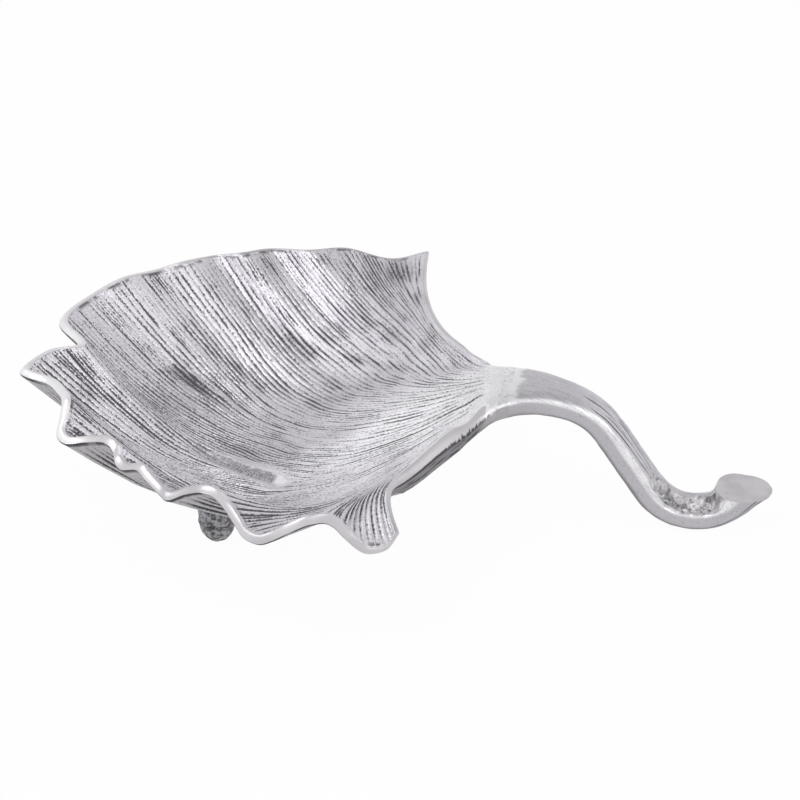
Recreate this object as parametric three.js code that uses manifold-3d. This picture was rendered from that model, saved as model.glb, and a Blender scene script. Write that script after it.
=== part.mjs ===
// Leaf dish in cast aluminium: a fan-shaped leaf bowl with a ruffled rim, a stem that
// arches from the neck of the leaf down to the table and curls up again, and two domed
// feet under the bowl. The stem is let into the neck with a tenon and welded all round,
// and each foot is spigoted into a boss under the bowl and brazed.
// Millimetres, +Z up, table at Z = 0. The leaf grows from the neck towards -X and the
// stem towards +X. The near side of the leaf is towards -Y.

import * as THREE from 'three';
import { mergeVertices } from 'three/addons/utils/BufferGeometryUtils.js';
import Module from 'manifold-3d';

const wasm = await Module();
wasm.setup();

// Fits
const GAP = 0.3;              // clearance left where two pieces meet
const FIT_GAP = 0.35;         // clearance round a tenon or spigot in its hole

// Leaf bowl
const NECK_HEIGHT = 70.5;     // top of the leaf at the neck, above the table
const NECK_WIDTH = 33;        // width of the leaf and of the stem where they meet
const NECK_THICKNESS = 11.5;  // thickness of both where they meet
const NECK_STUB = 9;          // straight length of the neck that takes the stem's tenon
const LEAF_WALL = 4;          // casting wall over the bowl
const RIM_WALL = 5;           // thicker lip at the rim
const MARGIN_WALL = 6;        // thicker side edges between the neck and the rim
const MARGIN_BEAD = 6;        // the near side edge is thicker still by this much
const FLOOR_RISE = 5.5;       // height of the bowl's lowest dip above the feet's joints
const BOWL_BACK = 1.45;       // moves the deepest place of the middle vein from the neck
const SIDE_BACK = 0.95;       // the same for the veins along the side edges
const BOWL_FLATNESS = 3.5;    // keeps the floor broad across the leaf at the rim as it grows
const NECK_FLATNESS = 2.2;    // the same at the neck
const RUFFLE_FADE = 2.6;      // how fast the rim's waves die out towards the neck
const CALM_REACH = 50;        // length of rim each way over which its waves are evened out

// Rim of the leaf in two runs, from the near side tip to the notch between the front
// lobes and on to the far side tip: distance out from the neck, distance across from its
// middle, and height above the table. Corners that hang out and down alternate with
// corners that stand in and up.
const NEAR_RIM = [
  [34, -105.5, 55], [37.5, -115, 52.5], [45, -123.5, 54], [52, -124, 58.5],
  [57.5, -126.5, 67.5], [62.5, -131, 73.5], [70, -135, 74.5], [79, -137, 70.5],
  [85.5, -136.5, 66], [90.5, -137, 64], [97, -133.5, 64], [101.5, -127.5, 66],
  [106.5, -122.5, 70], [112, -120, 74.5], [118, -118, 75], [127, -114.5, 71],
  [135.5, -114, 67], [139, -112.5, 69], [145.5, -107.5, 72], [149, -104.5, 74],
  [159.5, -97.5, 69.5], [163, -94, 70.5], [164.5, -91, 74.5], [168.5, -87.5, 76],
  [181.5, -79, 70.5], [192, -77.5, 68], [196.5, -73.5, 69], [196.5, -67.5, 73],
  [197, -60, 78], [202, -50.5, 77], [211.5, -39, 75.5], [223.5, -33.5, 75],
  [228, -30, 75], [221.5, -11.5, 75], [210, 3.5, 72],
];
const FAR_RIM = [
  [226.5, 26, 73], [220.5, 57, 72], [209, 72, 74.5], [196.5, 89.5, 71.5],
  [183.5, 97.5, 73.5], [172, 113.5, 70], [156, 113.5, 73], [144.5, 128, 69.5],
  [121.5, 121.5, 73.5], [104, 135.5, 69.5], [74.5, 117, 74], [56.5, 132.5, 72.5],
];
const TIP_CORNER = [45.5, -90.5, 62.5];  // where the near side edge turns down to its tip
const TIP_LOBE = 56;          // length of rim on the lobe that hangs down from that corner
const TIP_TURN = 12;          // how sharply the veins turn down over it
const LOBE_REACH = 1.6;       // how much of the lobe does so fully
const EDGE_SWELL = 8;         // how near an edge the wall starts to thicken
const BEAD_SWELL = 50;        // the same for the near side edge's bead
const BEAD_END = 4;           // the bead fades over the last 1 / BEAD_END of its length
const NECK_SWELL = 4;         // the same at the neck
const NEAR_MARGIN_BEND = [32, 76];  // where the near side edge bends: out from neck, across
const FAR_MARGIN_BEND = [53, 43];   // the same on the far side
const COLUMNS_PER_STEP = 2;   // facets between two rows of the rim
const LEAF_ROWS = 14;         // facets from the neck to the rim
const EVENING = 3;            // facets each way over which the wall's direction is evened out
const EDGE_CROWDING = 1.5;    // how much closer together the veins run towards a side edge
const MARGIN_PULL = 3;        // how closely the veins beside a side edge follow its bend
const VEIN_BOW = [81, -39];   // how far the near veins bow into the bowl: out, across
const BOW_EDGE = 0.7;         // how soon they do so inside the near side edge

// Stem
const STEM_WIDTH = 22;        // width of the stem down its back
const STEM_THICKNESS = 12.5;  // thickness of the stem down its back
const NECK_RISE = 5.5;          // degrees the stem still climbs where it leaves the neck
const CREST_TURN = 26;        // degrees it bends down along its crest
const CREST_LENGTH = 30;      // length of that gentle bend
const SHOULDER_RADIUS = 33.5;   // bend from the crest into the fall
const FALL_ANGLE = 55.5;        // degrees below level down the back
const HEEL_RADIUS = 28;       // bend where the stem rests on the table
const TIP_ANGLE = 55;         // degrees above level at the cut end
const TIP_LENGTH = 29;        // straight run past the heel, the last of it cut away
const TIP_WIDTH = 33;         // width at the end of that run
const TIP_THICKNESS = 35;     // thickness there
const TIP_FLARE = 1.6;        // the end swells over this many times TIP_LENGTH
const CUT_HEIGHT = 21;        // height of the level cut across the end
const HEEL_FLAT = 0.5;        // metal dressed off the heel to give it a flat
const STEM_BOXINESS = 4.5;    // section of the stem: 2 is an ellipse, more is a box
const TIP_BOXINESS = 2.2;     // the same at the cut end
const STEM_STEP = 4;          // facet length along the stem
const STEM_FACETS = 20;       // facets round the stem and the neck

// Neck joint
const WELD_HALF_WIDTH = 2.6;  // half the width of the welded groove, and its depth
const TENON_LENGTH = 7;
const TENON_WIDTH = 13;
const TENON_THICKNESS = 4;

// Feet
const FOOT_WIDTH = 17.4;      // diameter of the domed foot
const FOOT_HEIGHT = 11;       // height of the joint between the foot and its boss
const FOOT_OUT = 132;         // distance of the feet from the neck towards the front
const FOOT_ACROSS = 51;       // distance of each foot from the middle of the leaf
const FOOT_FLAT = 0.5;        // metal dressed off the bottom of the dome
const SPIGOT_WIDTH = 6;       // diameter of the foot's spigot
const SPIGOT_LENGTH = 3.5;
const BRAZE_HALF_WIDTH = 1.8; // half the width of the brazed groove, and its depth
const ROUND_FACETS = 28;      // facets round a turned piece
const DOME_FACETS = 10;       // facets up a foot's dome

// Sizes that follow from those above
const NECK_MIDDLE = NECK_HEIGHT - NECK_THICKNESS / 2;
const SHOULDER_TURN = FALL_ANGLE + NECK_RISE - CREST_TURN;
const BOWL_DEPTH = NECK_HEIGHT - FOOT_HEIGHT - FLOOR_RISE;  // dip of the middle vein
const BOSS_TOP = NECK_HEIGHT - BOWL_DEPTH / 2;  // high enough to meet the bowl

const rad = THREE.MathUtils.degToRad;
const lerp = THREE.MathUtils.lerp;

// A closed mesh as a solid that can be joined and cut.
function solid(geometry) {
  const bare = geometry.clone();
  bare.deleteAttribute('normal');
  bare.deleteAttribute('uv');
  const merged = mergeVertices(bare, 1e-4);
  return new wasm.Manifold(new wasm.Mesh({
    numProp: 3,
    vertProperties: new Float32Array(merged.attributes.position.array),
    triVerts: new Uint32Array(merged.index.array),
  }));
}

// A solid back as a mesh.
function geometryOf(manifold) {
  const mesh = manifold.getMesh();
  const geometry = new THREE.BufferGeometry();
  geometry.setAttribute('position', new THREE.BufferAttribute(mesh.vertProperties, 3));
  geometry.setIndex(new THREE.BufferAttribute(mesh.triVerts, 1));
  return geometry.toNonIndexed();
}

// Closed skin over a grid of points: loops[i][j] goes round at each step i. The first
// and last loops are closed with a flat fan, or joined to each other in a ring.
function skin(loops, ring = false) {
  const around = loops[0].length;
  const points = loops.flat();
  const faces = [];
  const steps = ring ? loops.length : loops.length - 1;
  for (let i = 0; i < steps; i++) {
    const next = (i + 1) % loops.length;
    for (let j = 0; j < around; j++) {
      const k = (j + 1) % around;
      const a = i * around + j;
      const b = i * around + k;
      const c = next * around + k;
      const d = next * around + j;
      faces.push(a, b, c, a, c, d);
    }
  }
  if (!ring) {
    const last = (loops.length - 1) * around;
    for (let j = 1; j < around - 1; j++) {
      faces.push(0, j + 1, j);
      faces.push(last, last + j, last + j + 1);
    }
  }
  const geometry = new THREE.BufferGeometry();
  geometry.setFromPoints(points);
  geometry.setIndex(faces);
  return geometry;
}

// Box given by its lowest and highest corners.
function block(low, high) {
  const size = new THREE.Vector3().subVectors(high, low);
  const box = new THREE.BoxGeometry(size.x, size.y, size.z);
  box.translate(low.x + size.x / 2, low.y + size.y / 2, low.z + size.z / 2);
  return solid(box);
}

const point = (x, y, z) => new THREE.Vector3(x, y, z);

// The rim as a smooth curve through its rows.
const rimCurve = new THREE.CatmullRomCurve3(
  [...NEAR_RIM, ...FAR_RIM].map(([out, across, height]) => point(-out, across, height)),
  false, 'centripetal');

// Points round the rim, each with how far along the rim it is and its place across the
// leaf: -1 at the near side edge, 0 at the notch and 1 at the far side edge, with the
// veins crowded towards the edges.
function rimColumns() {
  const count = (NEAR_RIM.length + FAR_RIM.length - 1) * COLUMNS_PER_STEP;
  const points = Array.from({ length: count + 1 }, (_, i) => rimCurve.getPoint(i / count));
  const travel = [0];
  for (let i = 1; i <= count; i++) travel.push(travel[i - 1] + points[i].distanceTo(points[i - 1]));
  const notch = travel[(NEAR_RIM.length - 1) * COLUMNS_PER_STEP];
  const rest = travel[count] - notch;
  return points.map((rim, i) => {
    const part = (travel[i] - notch) / (travel[i] < notch ? notch : rest);
    const across = Math.sign(part) * (1 - Math.pow(1 - Math.abs(part), EDGE_CROWDING));
    return { rim, part, across, travel: travel[i] };
  });
}

// A rim without its waves, which sets the broad shape of the bowl. Over the near tip's
// lobe it is a straight line from the corner of the side edge.
function calmRim(columns) {
  const [out, across, height] = TIP_CORNER;
  const corner = point(-out, across, height);
  const even = evenRim(columns);
  const lobeEnd = columns.findIndex(({ travel }) => travel >= TIP_LOBE);
  const lobeTravel = columns[lobeEnd].travel;
  return even.map((place, i) => (
    i < lobeEnd ? corner.clone().lerp(even[lobeEnd], columns[i].travel / lobeTravel) : place));
}

// The rim with its waves evened out: each place is the mean of the rim on both sides of
// it, the nearer parts counting more.
function evenRim(columns) {
  const last = columns.length - 1;
  return columns.map(({ travel }) => {
    const reach = Math.min(CALM_REACH, travel, columns[last].travel - travel);
    const mean = point(0, 0, 0);
    let weight = 0;
    columns.forEach((other, k) => {
      const length = columns[Math.min(k + 1, last)].travel - columns[Math.max(k - 1, 0)].travel;
      const share = length * Math.max(0, 1 - Math.abs(other.travel - travel) / (reach + GAP));
      mean.addScaledVector(other.rim, share);
      weight += share;
    });
    return mean.divideScalar(weight);
  });
}

// Top face of the leaf along one vein, from the neck at s = 0 to the rim at s = 1.
function veinPoint(column, calm, s) {
  const { rim, part, across, travel } = column;
  const side = Math.abs(across);
  const start = point(-NECK_STUB, across * NECK_WIDTH / 2, NECK_HEIGHT);
  const [bendOut, bendAcross] = across < 0 ? NEAR_MARGIN_BEND : FAR_MARGIN_BEND;
  const bend = point(-bendOut, Math.sign(across) * bendAcross, 0);
  const onLobe = THREE.MathUtils.smoothstep(1 - travel / TIP_LOBE, 0, 1);
  const fade = lerp(RUFFLE_FADE, TIP_TURN, Math.min(1, LOBE_REACH * onLobe));
  const end = calm.clone().lerp(rim, Math.pow(s, fade));
  const middle = start.clone().lerp(end, 0.5).lerp(bend, Math.pow(side, MARGIN_PULL));
  const near = Math.max(0, -part);
  const bow = near * near * Math.pow(1 - near, BOW_EDGE);
  middle.add(point(-VEIN_BOW[0] * bow, -VEIN_BOW[1] * bow, 0));
  const plan = new THREE.QuadraticBezierCurve3(start, middle, end).getPoint(s);
  const depth = BOWL_DEPTH * (1 - Math.pow(side, lerp(NECK_FLATNESS, BOWL_FLATNESS, s)));
  const back = lerp(BOWL_BACK, SIDE_BACK, side * side);
  plan.z = lerp(NECK_HEIGHT, end.z, s) - depth * Math.sin(Math.PI * Math.pow(s, back));
  return plan;
}

// Wall of the leaf: thick at the neck, thinner along the side edges and at the rim, and
// thinnest over the bowl. The near side edge is a bead.
function leafWall(across, s) {
  const edge = (MARGIN_WALL - LEAF_WALL) * Math.pow(Math.abs(across), EDGE_SWELL) * (1 - s);
  const lip = (RIM_WALL - LEAF_WALL) * Math.pow(s, EDGE_SWELL);
  const beadEnd = Math.min(1, BEAD_END * (1 - s));
  const bead = MARGIN_BEAD * Math.pow(Math.max(0, -across), BEAD_SWELL) * beadEnd;
  const bowl = LEAF_WALL + edge + lip + bead;
  return lerp(bowl, NECK_THICKNESS, Math.pow(1 - s, NECK_SWELL));
}

// The leaf's two faces as grids of points, veins by rows, the lower one a wall below.
function leafFaces() {
  const columns = rimColumns();
  const calm = calmRim(columns);
  const top = columns.map((column, i) => Array.from({ length: LEAF_ROWS + 1 },
    (_, j) => veinPoint(column, calm[i], j / LEAF_ROWS)));
  const under = top.map((vein, i) => vein.map((at, j) => {
    const along = vein[Math.min(j + 1, LEAF_ROWS)].clone().sub(vein[Math.max(j - 1, 0)]);
    const left = top[Math.max(i - EVENING, 0)][j];
    const over = top[Math.min(i + EVENING, top.length - 1)][j].clone().sub(left);
    const up = over.cross(along).normalize();
    up.lerp(point(0, 0, 1), Math.pow(1 - j / LEAF_ROWS, NECK_SWELL)).normalize();
    return at.clone().addScaledVector(up, -leafWall(columns[i].across, j / LEAF_ROWS));
  }));
  return { top, under };
}

// Plate between two grids of points: its two faces and its four edges.
function plate(top, under) {
  const lastVein = top.length - 1;
  const lastRow = top[0].length - 1;
  const upper = (i, j) => i * (lastRow + 1) + j;
  const lower = (i, j) => upper(i, j) + (lastVein + 1) * (lastRow + 1);
  const faces = [];
  const quad = (a, b, c, d) => faces.push(a, b, c, a, c, d);
  for (let i = 0; i < lastVein; i++) {
    for (let j = 0; j < lastRow; j++) {
      quad(upper(i, j), upper(i + 1, j), upper(i + 1, j + 1), upper(i, j + 1));
      quad(lower(i, j), lower(i, j + 1), lower(i + 1, j + 1), lower(i + 1, j));
    }
    quad(upper(i, 0), lower(i, 0), lower(i + 1, 0), upper(i + 1, 0));
    quad(upper(i, lastRow), upper(i + 1, lastRow), lower(i + 1, lastRow), lower(i, lastRow));
  }
  for (let j = 0; j < lastRow; j++) {
    quad(upper(0, j), upper(0, j + 1), lower(0, j + 1), lower(0, j));
    quad(upper(lastVein, j), lower(lastVein, j), lower(lastVein, j + 1), upper(lastVein, j + 1));
  }
  const geometry = new THREE.BufferGeometry();
  geometry.setFromPoints([...top.flat(), ...under.flat()]);
  geometry.setIndex(faces);
  return geometry;
}

// Outline of the neck and the stem across their length: a box with well-rounded
// corners, as offsets across (y) and up.
function stemSection(width, thickness, boxiness = STEM_BOXINESS) {
  const power = 2 / boxiness;
  return Array.from({ length: STEM_FACETS }, (_, i) => {
    const turn = 2 * Math.PI * (i + 0.5) / STEM_FACETS;
    const c = Math.cos(turn);
    const s = Math.sin(turn);
    return [
      Math.sign(c) * Math.pow(Math.abs(c), power) * width / 2,
      Math.sign(s) * Math.pow(Math.abs(s), power) * thickness / 2,
    ];
  });
}

// Loop of the neck section at a given x, smaller all round by an inset.
function neckLoop(x, inset) {
  const section = stemSection(NECK_WIDTH - 2 * inset, NECK_THICKNESS - 2 * inset);
  return section.map(([across, up]) => point(x, across, NECK_MIDDLE + up));
}

// Centre line of the stem as a chain of arcs and straights, in steps: place, direction
// and how far along the stem it is.
function stemLine() {
  const chain = [
    [CREST_LENGTH, -CREST_TURN],
    [SHOULDER_RADIUS * rad(SHOULDER_TURN), -SHOULDER_TURN],
    [fallLength(), 0],
    [HEEL_RADIUS * rad(FALL_ANGLE + TIP_ANGLE), FALL_ANGLE + TIP_ANGLE],
    [TIP_LENGTH, 0],
  ];
  const line = [];
  let x = WELD_HALF_WIDTH;
  let z = NECK_MIDDLE;
  let slope = NECK_RISE;
  let along = 0;
  line.push({ x, z, slope, along });
  for (const [length, turn] of chain) {
    const steps = Math.max(1, Math.round(length / STEM_STEP));
    for (let i = 0; i < steps; i++) {
      const step = length / steps;
      slope += turn / steps / 2;
      x += step * Math.cos(rad(slope));
      z += step * Math.sin(rad(slope));
      slope += turn / steps / 2;
      along += step;
      line.push({ x, z, slope, along });
    }
  }
  return line;
}

// Length of the straight fall that brings the heel down to the table.
function fallLength() {
  const crest = CREST_LENGTH * Math.sin(rad(CREST_TURN / 2 - NECK_RISE));
  const shoulder = SHOULDER_RADIUS
    * (Math.cos(rad(CREST_TURN - NECK_RISE)) - Math.cos(rad(FALL_ANGLE)));
  const heel = HEEL_RADIUS * (1 - Math.cos(rad(FALL_ANGLE)));
  const heelMiddle = STEM_THICKNESS / 2 - HEEL_FLAT;
  return (NECK_MIDDLE - heelMiddle - crest - shoulder - heel) / Math.sin(rad(FALL_ANGLE));
}

// Stem: swept down its line, cut level at its tip, dressed flat at its heel, with a
// chamfer and a tenon at the neck.
function stemHandle() {
  const line = stemLine();
  const total = line[line.length - 1].along;
  const waist = CREST_LENGTH + SHOULDER_RADIUS * rad(SHOULDER_TURN);
  const flareLength = TIP_FLARE * TIP_LENGTH;
  const loops = line.map(({ x, z, slope, along }) => {
    const slim = Math.sin(Math.min(1, along / waist) * Math.PI / 2);
    const near = Math.max(0, along - total + flareLength) / flareLength;
    const flare = near ** 2;
    const width = lerp(lerp(NECK_WIDTH, STEM_WIDTH, slim), TIP_WIDTH, flare);
    const thickness = lerp(lerp(NECK_THICKNESS, STEM_THICKNESS, slim), TIP_THICKNESS, flare);
    const boxiness = lerp(STEM_BOXINESS, TIP_BOXINESS, near);
    return stemSection(width, thickness, boxiness).map(([across, up]) => point(
      x - up * Math.sin(rad(slope)), across, z + up * Math.cos(rad(slope))));
  });
  const chamfer = [neckLoop(GAP / 2, WELD_HALF_WIDTH), neckLoop(WELD_HALF_WIDTH, 0)];
  const body = solid(skin([...chamfer, ...loops.slice(1)]));
  const far = 2 * (total + FOOT_OUT);
  const heelX = line.reduce((low, step) => (step.z < low.z ? step : low)).x;
  const aboveCut = block(point(heelX, -far, CUT_HEIGHT), point(far, far, far));
  const belowTable = block(point(-far, -far, -far), point(far, far, 0));
  const tenon = block(
    point(-TENON_LENGTH, -TENON_WIDTH / 2, NECK_MIDDLE - TENON_THICKNESS / 2),
    point(WELD_HALF_WIDTH, TENON_WIDTH / 2, NECK_MIDDLE + TENON_THICKNESS / 2));
  return body.subtract(aboveCut).subtract(belowTable).add(tenon);
}

// Weld round the neck joint: a ring of V section that fills the groove between the
// chamfers of the leaf and the stem, dressed level with both.
function neckWeld() {
  const slack = GAP * Math.SQRT2;
  const half = WELD_HALF_WIDTH - slack;
  const left = neckLoop(-half, 0);
  const right = neckLoop(half, 0);
  const root = neckLoop(0, half);
  const loops = left.map((_, i) => [right[i], left[i], root[i]]);
  return solid(skin(loops, true));
}

// Turned solid from a closed profile of [radius, height] pairs.
function turned(profile) {
  const points = profile.map(([r, z]) => new THREE.Vector2(r, z));
  const lathe = new THREE.LatheGeometry(points, ROUND_FACETS);
  lathe.rotateX(Math.PI / 2);
  return solid(lathe);
}

// Foot: a domed knob dressed flat where it stands, chamfered at its seat, with a spigot.
function foot() {
  const dome = FOOT_HEIGHT + FOOT_FLAT;
  const lowest = Math.asin(FOOT_HEIGHT / dome);
  const highest = Math.asin(BRAZE_HALF_WIDTH / dome);
  const wall = Array.from({ length: DOME_FACETS + 1 }, (_, i) => {
    const turn = lerp(lowest, highest, i / DOME_FACETS);
    return [FOOT_WIDTH / 2 * Math.cos(turn), FOOT_HEIGHT - dome * Math.sin(turn)];
  });
  const seat = FOOT_HEIGHT - GAP / 2;
  const spigotTop = FOOT_HEIGHT + SPIGOT_LENGTH;
  return turned([
    [0, 0], ...wall, [FOOT_WIDTH / 2 - BRAZE_HALF_WIDTH, seat],
    [SPIGOT_WIDTH / 2, seat], [SPIGOT_WIDTH / 2, spigotTop], [0, spigotTop],
  ]);
}

// Braze in the groove between a foot and its boss, dressed level with both.
function footBraze() {
  const half = BRAZE_HALF_WIDTH - GAP * Math.SQRT2;
  const outer = FOOT_WIDTH / 2;
  return turned([
    [outer, FOOT_HEIGHT - half], [outer, FOOT_HEIGHT + half],
    [outer - half, FOOT_HEIGHT], [outer, FOOT_HEIGHT - half],
  ]);
}

// The space over the middle of the leaf's wall, which trims the bosses inside the wall.
function overWall(top, under) {
  const middle = top.map((vein, i) => vein.map((at, j) => at.clone().lerp(under[i][j], 0.5)));
  const raised = middle.map((vein) => vein.map((at) => at.clone().setZ(at.z + NECK_HEIGHT)));
  return solid(plate(raised, middle));
}

// Leaf: the ruffled bowl, its neck chamfered and mortised for the stem, and a bored
// boss over each foot.
function leafBowl() {
  const { top, under } = leafFaces();
  const shell = solid(plate(top, under));
  const stub = solid(skin([
    neckLoop(-NECK_STUB - LEAF_WALL, LEAF_WALL / 2), neckLoop(-NECK_STUB, 0),
    neckLoop(-WELD_HALF_WIDTH, 0), neckLoop(-GAP / 2, WELD_HALF_WIDTH),
  ]));
  const across = TENON_WIDTH / 2 + FIT_GAP;
  const up = TENON_THICKNESS / 2 + FIT_GAP;
  const mortise = block(
    point(-TENON_LENGTH - FIT_GAP, -across, NECK_MIDDLE - up),
    point(WELD_HALF_WIDTH, across, NECK_MIDDLE + up));
  const air = overWall(top, under);
  let leaf = shell.add(stub).subtract(mortise);
  for (const side of [-1, 1]) {
    const boss = turned([
      [0, FOOT_HEIGHT + GAP / 2], [FOOT_WIDTH / 2 - BRAZE_HALF_WIDTH, FOOT_HEIGHT + GAP / 2],
      [FOOT_WIDTH / 2, FOOT_HEIGHT + BRAZE_HALF_WIDTH], [FOOT_WIDTH / 2, BOSS_TOP], [0, BOSS_TOP],
    ]);
    const bore = SPIGOT_WIDTH / 2 + FIT_GAP;
    const deep = FOOT_HEIGHT + SPIGOT_LENGTH + FIT_GAP;
    const hole = turned([[0, 0], [bore, 0], [bore, deep], [0, deep]]);
    const seat = [-FOOT_OUT, side * FOOT_ACROSS, 0];
    leaf = leaf.add(boss.translate(seat).subtract(air)).subtract(hole.translate(seat));
  }
  return leaf;
}

const dish = new THREE.Group();

// One named piece of the dish.
function place(name, manifold, material, x = 0, y = 0) {
  const mesh = new THREE.Mesh(geometryOf(manifold), material);
  mesh.name = name;
  mesh.position.set(x, y, 0);
  dish.add(mesh);
}

// One metal colour of the dish.
function metal(color, roughness) {
  return new THREE.MeshStandardMaterial({ color, roughness, metalness: 0.9 });
}

const castAluminium = metal(0xb9b8bd, 0.42);
const polishedAluminium = metal(0xcfced2, 0.25);
const sandCastAluminium = metal(0x8f8f93, 0.6);
const weldMetal = metal(0xc6c6ca, 0.35);

place('leaf_bowl', leafBowl(), castAluminium);
place('stem_handle', stemHandle(), polishedAluminium);
place('neck_weld', neckWeld(), weldMetal);
for (const [name, side] of [['near', -1], ['far', 1]]) {
  place(`foot_${name}`, foot(), sandCastAluminium, -FOOT_OUT, side * FOOT_ACROSS);
  place(`foot_${name}_braze`, footBraze(), weldMetal, -FOOT_OUT, side * FOOT_ACROSS);
}

// The origin goes under the middle of the dish, on the table.
const bounds = new THREE.Box3().setFromObject(dish);
const centre = bounds.getCenter(new THREE.Vector3());
dish.position.set(-centre.x, -centre.y, -bounds.min.z);

export default dish;
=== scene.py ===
import math

import bpy
import numpy as np
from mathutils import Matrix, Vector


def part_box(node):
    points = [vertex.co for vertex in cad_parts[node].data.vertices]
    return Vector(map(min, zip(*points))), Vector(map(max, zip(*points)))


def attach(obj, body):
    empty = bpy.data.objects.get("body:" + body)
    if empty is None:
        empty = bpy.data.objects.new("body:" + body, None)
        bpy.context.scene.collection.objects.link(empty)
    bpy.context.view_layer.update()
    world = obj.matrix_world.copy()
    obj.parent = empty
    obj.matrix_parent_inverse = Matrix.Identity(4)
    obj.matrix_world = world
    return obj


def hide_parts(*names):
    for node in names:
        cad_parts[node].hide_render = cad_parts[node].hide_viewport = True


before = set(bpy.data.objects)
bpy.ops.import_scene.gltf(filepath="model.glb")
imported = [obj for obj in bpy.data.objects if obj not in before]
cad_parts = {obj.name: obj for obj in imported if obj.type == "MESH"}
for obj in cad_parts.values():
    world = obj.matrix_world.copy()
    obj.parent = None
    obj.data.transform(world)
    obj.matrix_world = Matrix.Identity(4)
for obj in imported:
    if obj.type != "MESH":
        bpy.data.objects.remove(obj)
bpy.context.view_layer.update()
bpy.ops.object.select_all(action="DESELECT")


# Camera. A product shot from a little right of the leaf's middle and 30 degrees above the table.
# The lens is a short tele, so the ruffles nearest the camera are only slightly enlarged.

VIEW_TARGET = (-0.0077, 0.0438, 0.030)
VIEW_DISTANCE = 0.963
VIEW_TURN = math.radians(9)
VIEW_RISE = math.radians(30)

bpy.ops.object.camera_add()
camera = bpy.context.object
camera.name = "product_camera"
camera.location = (
    VIEW_TARGET[0] + VIEW_DISTANCE * math.sin(VIEW_TURN) * math.cos(VIEW_RISE),
    VIEW_TARGET[1] - VIEW_DISTANCE * math.cos(VIEW_TURN) * math.cos(VIEW_RISE),
    VIEW_TARGET[2] + VIEW_DISTANCE * math.sin(VIEW_RISE),
)
camera.rotation_euler = (math.pi / 2 - VIEW_RISE, 0, VIEW_TURN)
camera.data.lens = 85
camera.data.sensor_width = 36
camera.data.clip_end = 20
bpy.context.scene.camera = camera


# Table and studio light. A white sweep of paper, lit by one large soft box over the left
# shoulder of the camera and a paler one from the right. Polished metal mirrors the same
# white sweep.

TABLE_SIZE = 6.0
TABLE_DROP = 0.0003       # the paper lies this far below the feet
TABLE_SHADE = 0.82
TABLE_GLOW = 0.97         # how much of the paper is plain white to the camera and in the metal
ROOM_LIGHT = 0.55         # what the room itself adds to the light on the dish
CEILING_SHADE = 0.62      # the studio's ceiling is greyer than its walls and its paper
WHITE = (1, 1, 1)


def material(name):
    """A new material, with the nodes and links of its empty tree."""
    made = bpy.data.materials.new(name)
    made.use_nodes = True
    made.node_tree.nodes.clear()
    return made, made.node_tree.nodes, made.node_tree.links


def node(kind, inputs=(), **settings):
    """Adds a node to the tree at hand; an input is a number, a colour or an output."""
    made = nodes.new("ShaderNode" + kind)
    for name, value in settings.items():
        setattr(made, name, value)
    for name, value in dict(inputs).items():
        if isinstance(value, bpy.types.NodeSocket):
            links.new(value, made.inputs[name])
        else:
            made.inputs[name].default_value = (*value, 1) if isinstance(value, tuple) else value
    return made


def maths(operation, a, b):
    """One sum on two numbers or outputs."""
    return node("Math", {0: a, 1: b}, operation=operation).outputs[0]


def plus(a, b):
    return maths("ADD", a, b)


def times(a, b):
    return maths("MULTIPLY", a, b)


def less(a, b):
    return maths("SUBTRACT", a, b)


def ramp(value, low, high, to_low=0.0, to_high=1.0):
    """Goes smoothly from to_low to to_high while the value goes from low to high."""
    return node("MapRange", {
        "Value": value, "From Min": low, "From Max": high, "To Min": to_low, "To Max": to_high,
    }, interpolation_type="SMOOTHSTEP").outputs["Result"]


bpy.ops.mesh.primitive_plane_add(size=TABLE_SIZE, location=(0, 0, -TABLE_DROP))
table = bpy.context.object
table.name = "paper_sweep"
paper, nodes, links = material("white paper")
rays = node("LightPath").outputs
seen = maths("MAXIMUM", rays["Is Camera Ray"], rays["Is Glossy Ray"])
sheet = node("BsdfPrincipled", {"Base Color": (TABLE_SHADE,) * 3, "Roughness": 0.9})
glow = node("Emission", {"Color": WHITE})
blend = node("MixShader", {
    "Fac": times(seen, TABLE_GLOW), 1: sheet.outputs["BSDF"], 2: glow.outputs["Emission"]})
node("OutputMaterial", {"Surface": blend.outputs["Shader"]})
table.data.materials.append(paper)

world = bpy.data.worlds.new("white studio")
bpy.context.scene.world = world
world.use_nodes = True
nodes, links = world.node_tree.nodes, world.node_tree.links
nodes.clear()
rays = node("LightPath").outputs
direction = node("SeparateXYZ", {0: node("TexCoord").outputs["Generated"]}).outputs
overhead = ramp(direction["Z"], 0.15, 0.95, 1.0, CEILING_SHADE)
mirrored = node("MapRange", {"Value": rays["Is Glossy Ray"], "To Min": ROOM_LIGHT, "To Max": overhead})
strength = maths("MAXIMUM", rays["Is Camera Ray"], mirrored.outputs["Result"])
sky = node("Background", {"Color": WHITE, "Strength": strength})
node("OutputWorld", {"Surface": sky.outputs["Background"]})

for name, place, turn, size, power in (
    ("key_softbox", (-0.75, -0.55, 1.25), (math.radians(40), 0, math.radians(-52)), 0.9, 9.0),
    ("fill_softbox", (1.15, -0.5, 0.9), (math.radians(55), 0, math.radians(66)), 0.9, 4.0),
):
    bpy.ops.object.light_add(type="AREA", location=place, rotation=turn)
    lamp = bpy.context.object
    lamp.name = name
    lamp.data.size = size
    lamp.data.energy = power
bpy.ops.object.select_all(action="DESELECT")

bpy.context.scene.view_settings.view_transform = "Standard"


# Leaf bowl. The leaf is one sand casting in aluminium: a deep bowl with a ruffled rim, whose veins
# run from the neck to the rim. After casting it was blackened and rubbed back, so the
# vein grooves stay dark, and the rim and the side edges were ground and polished.

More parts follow.
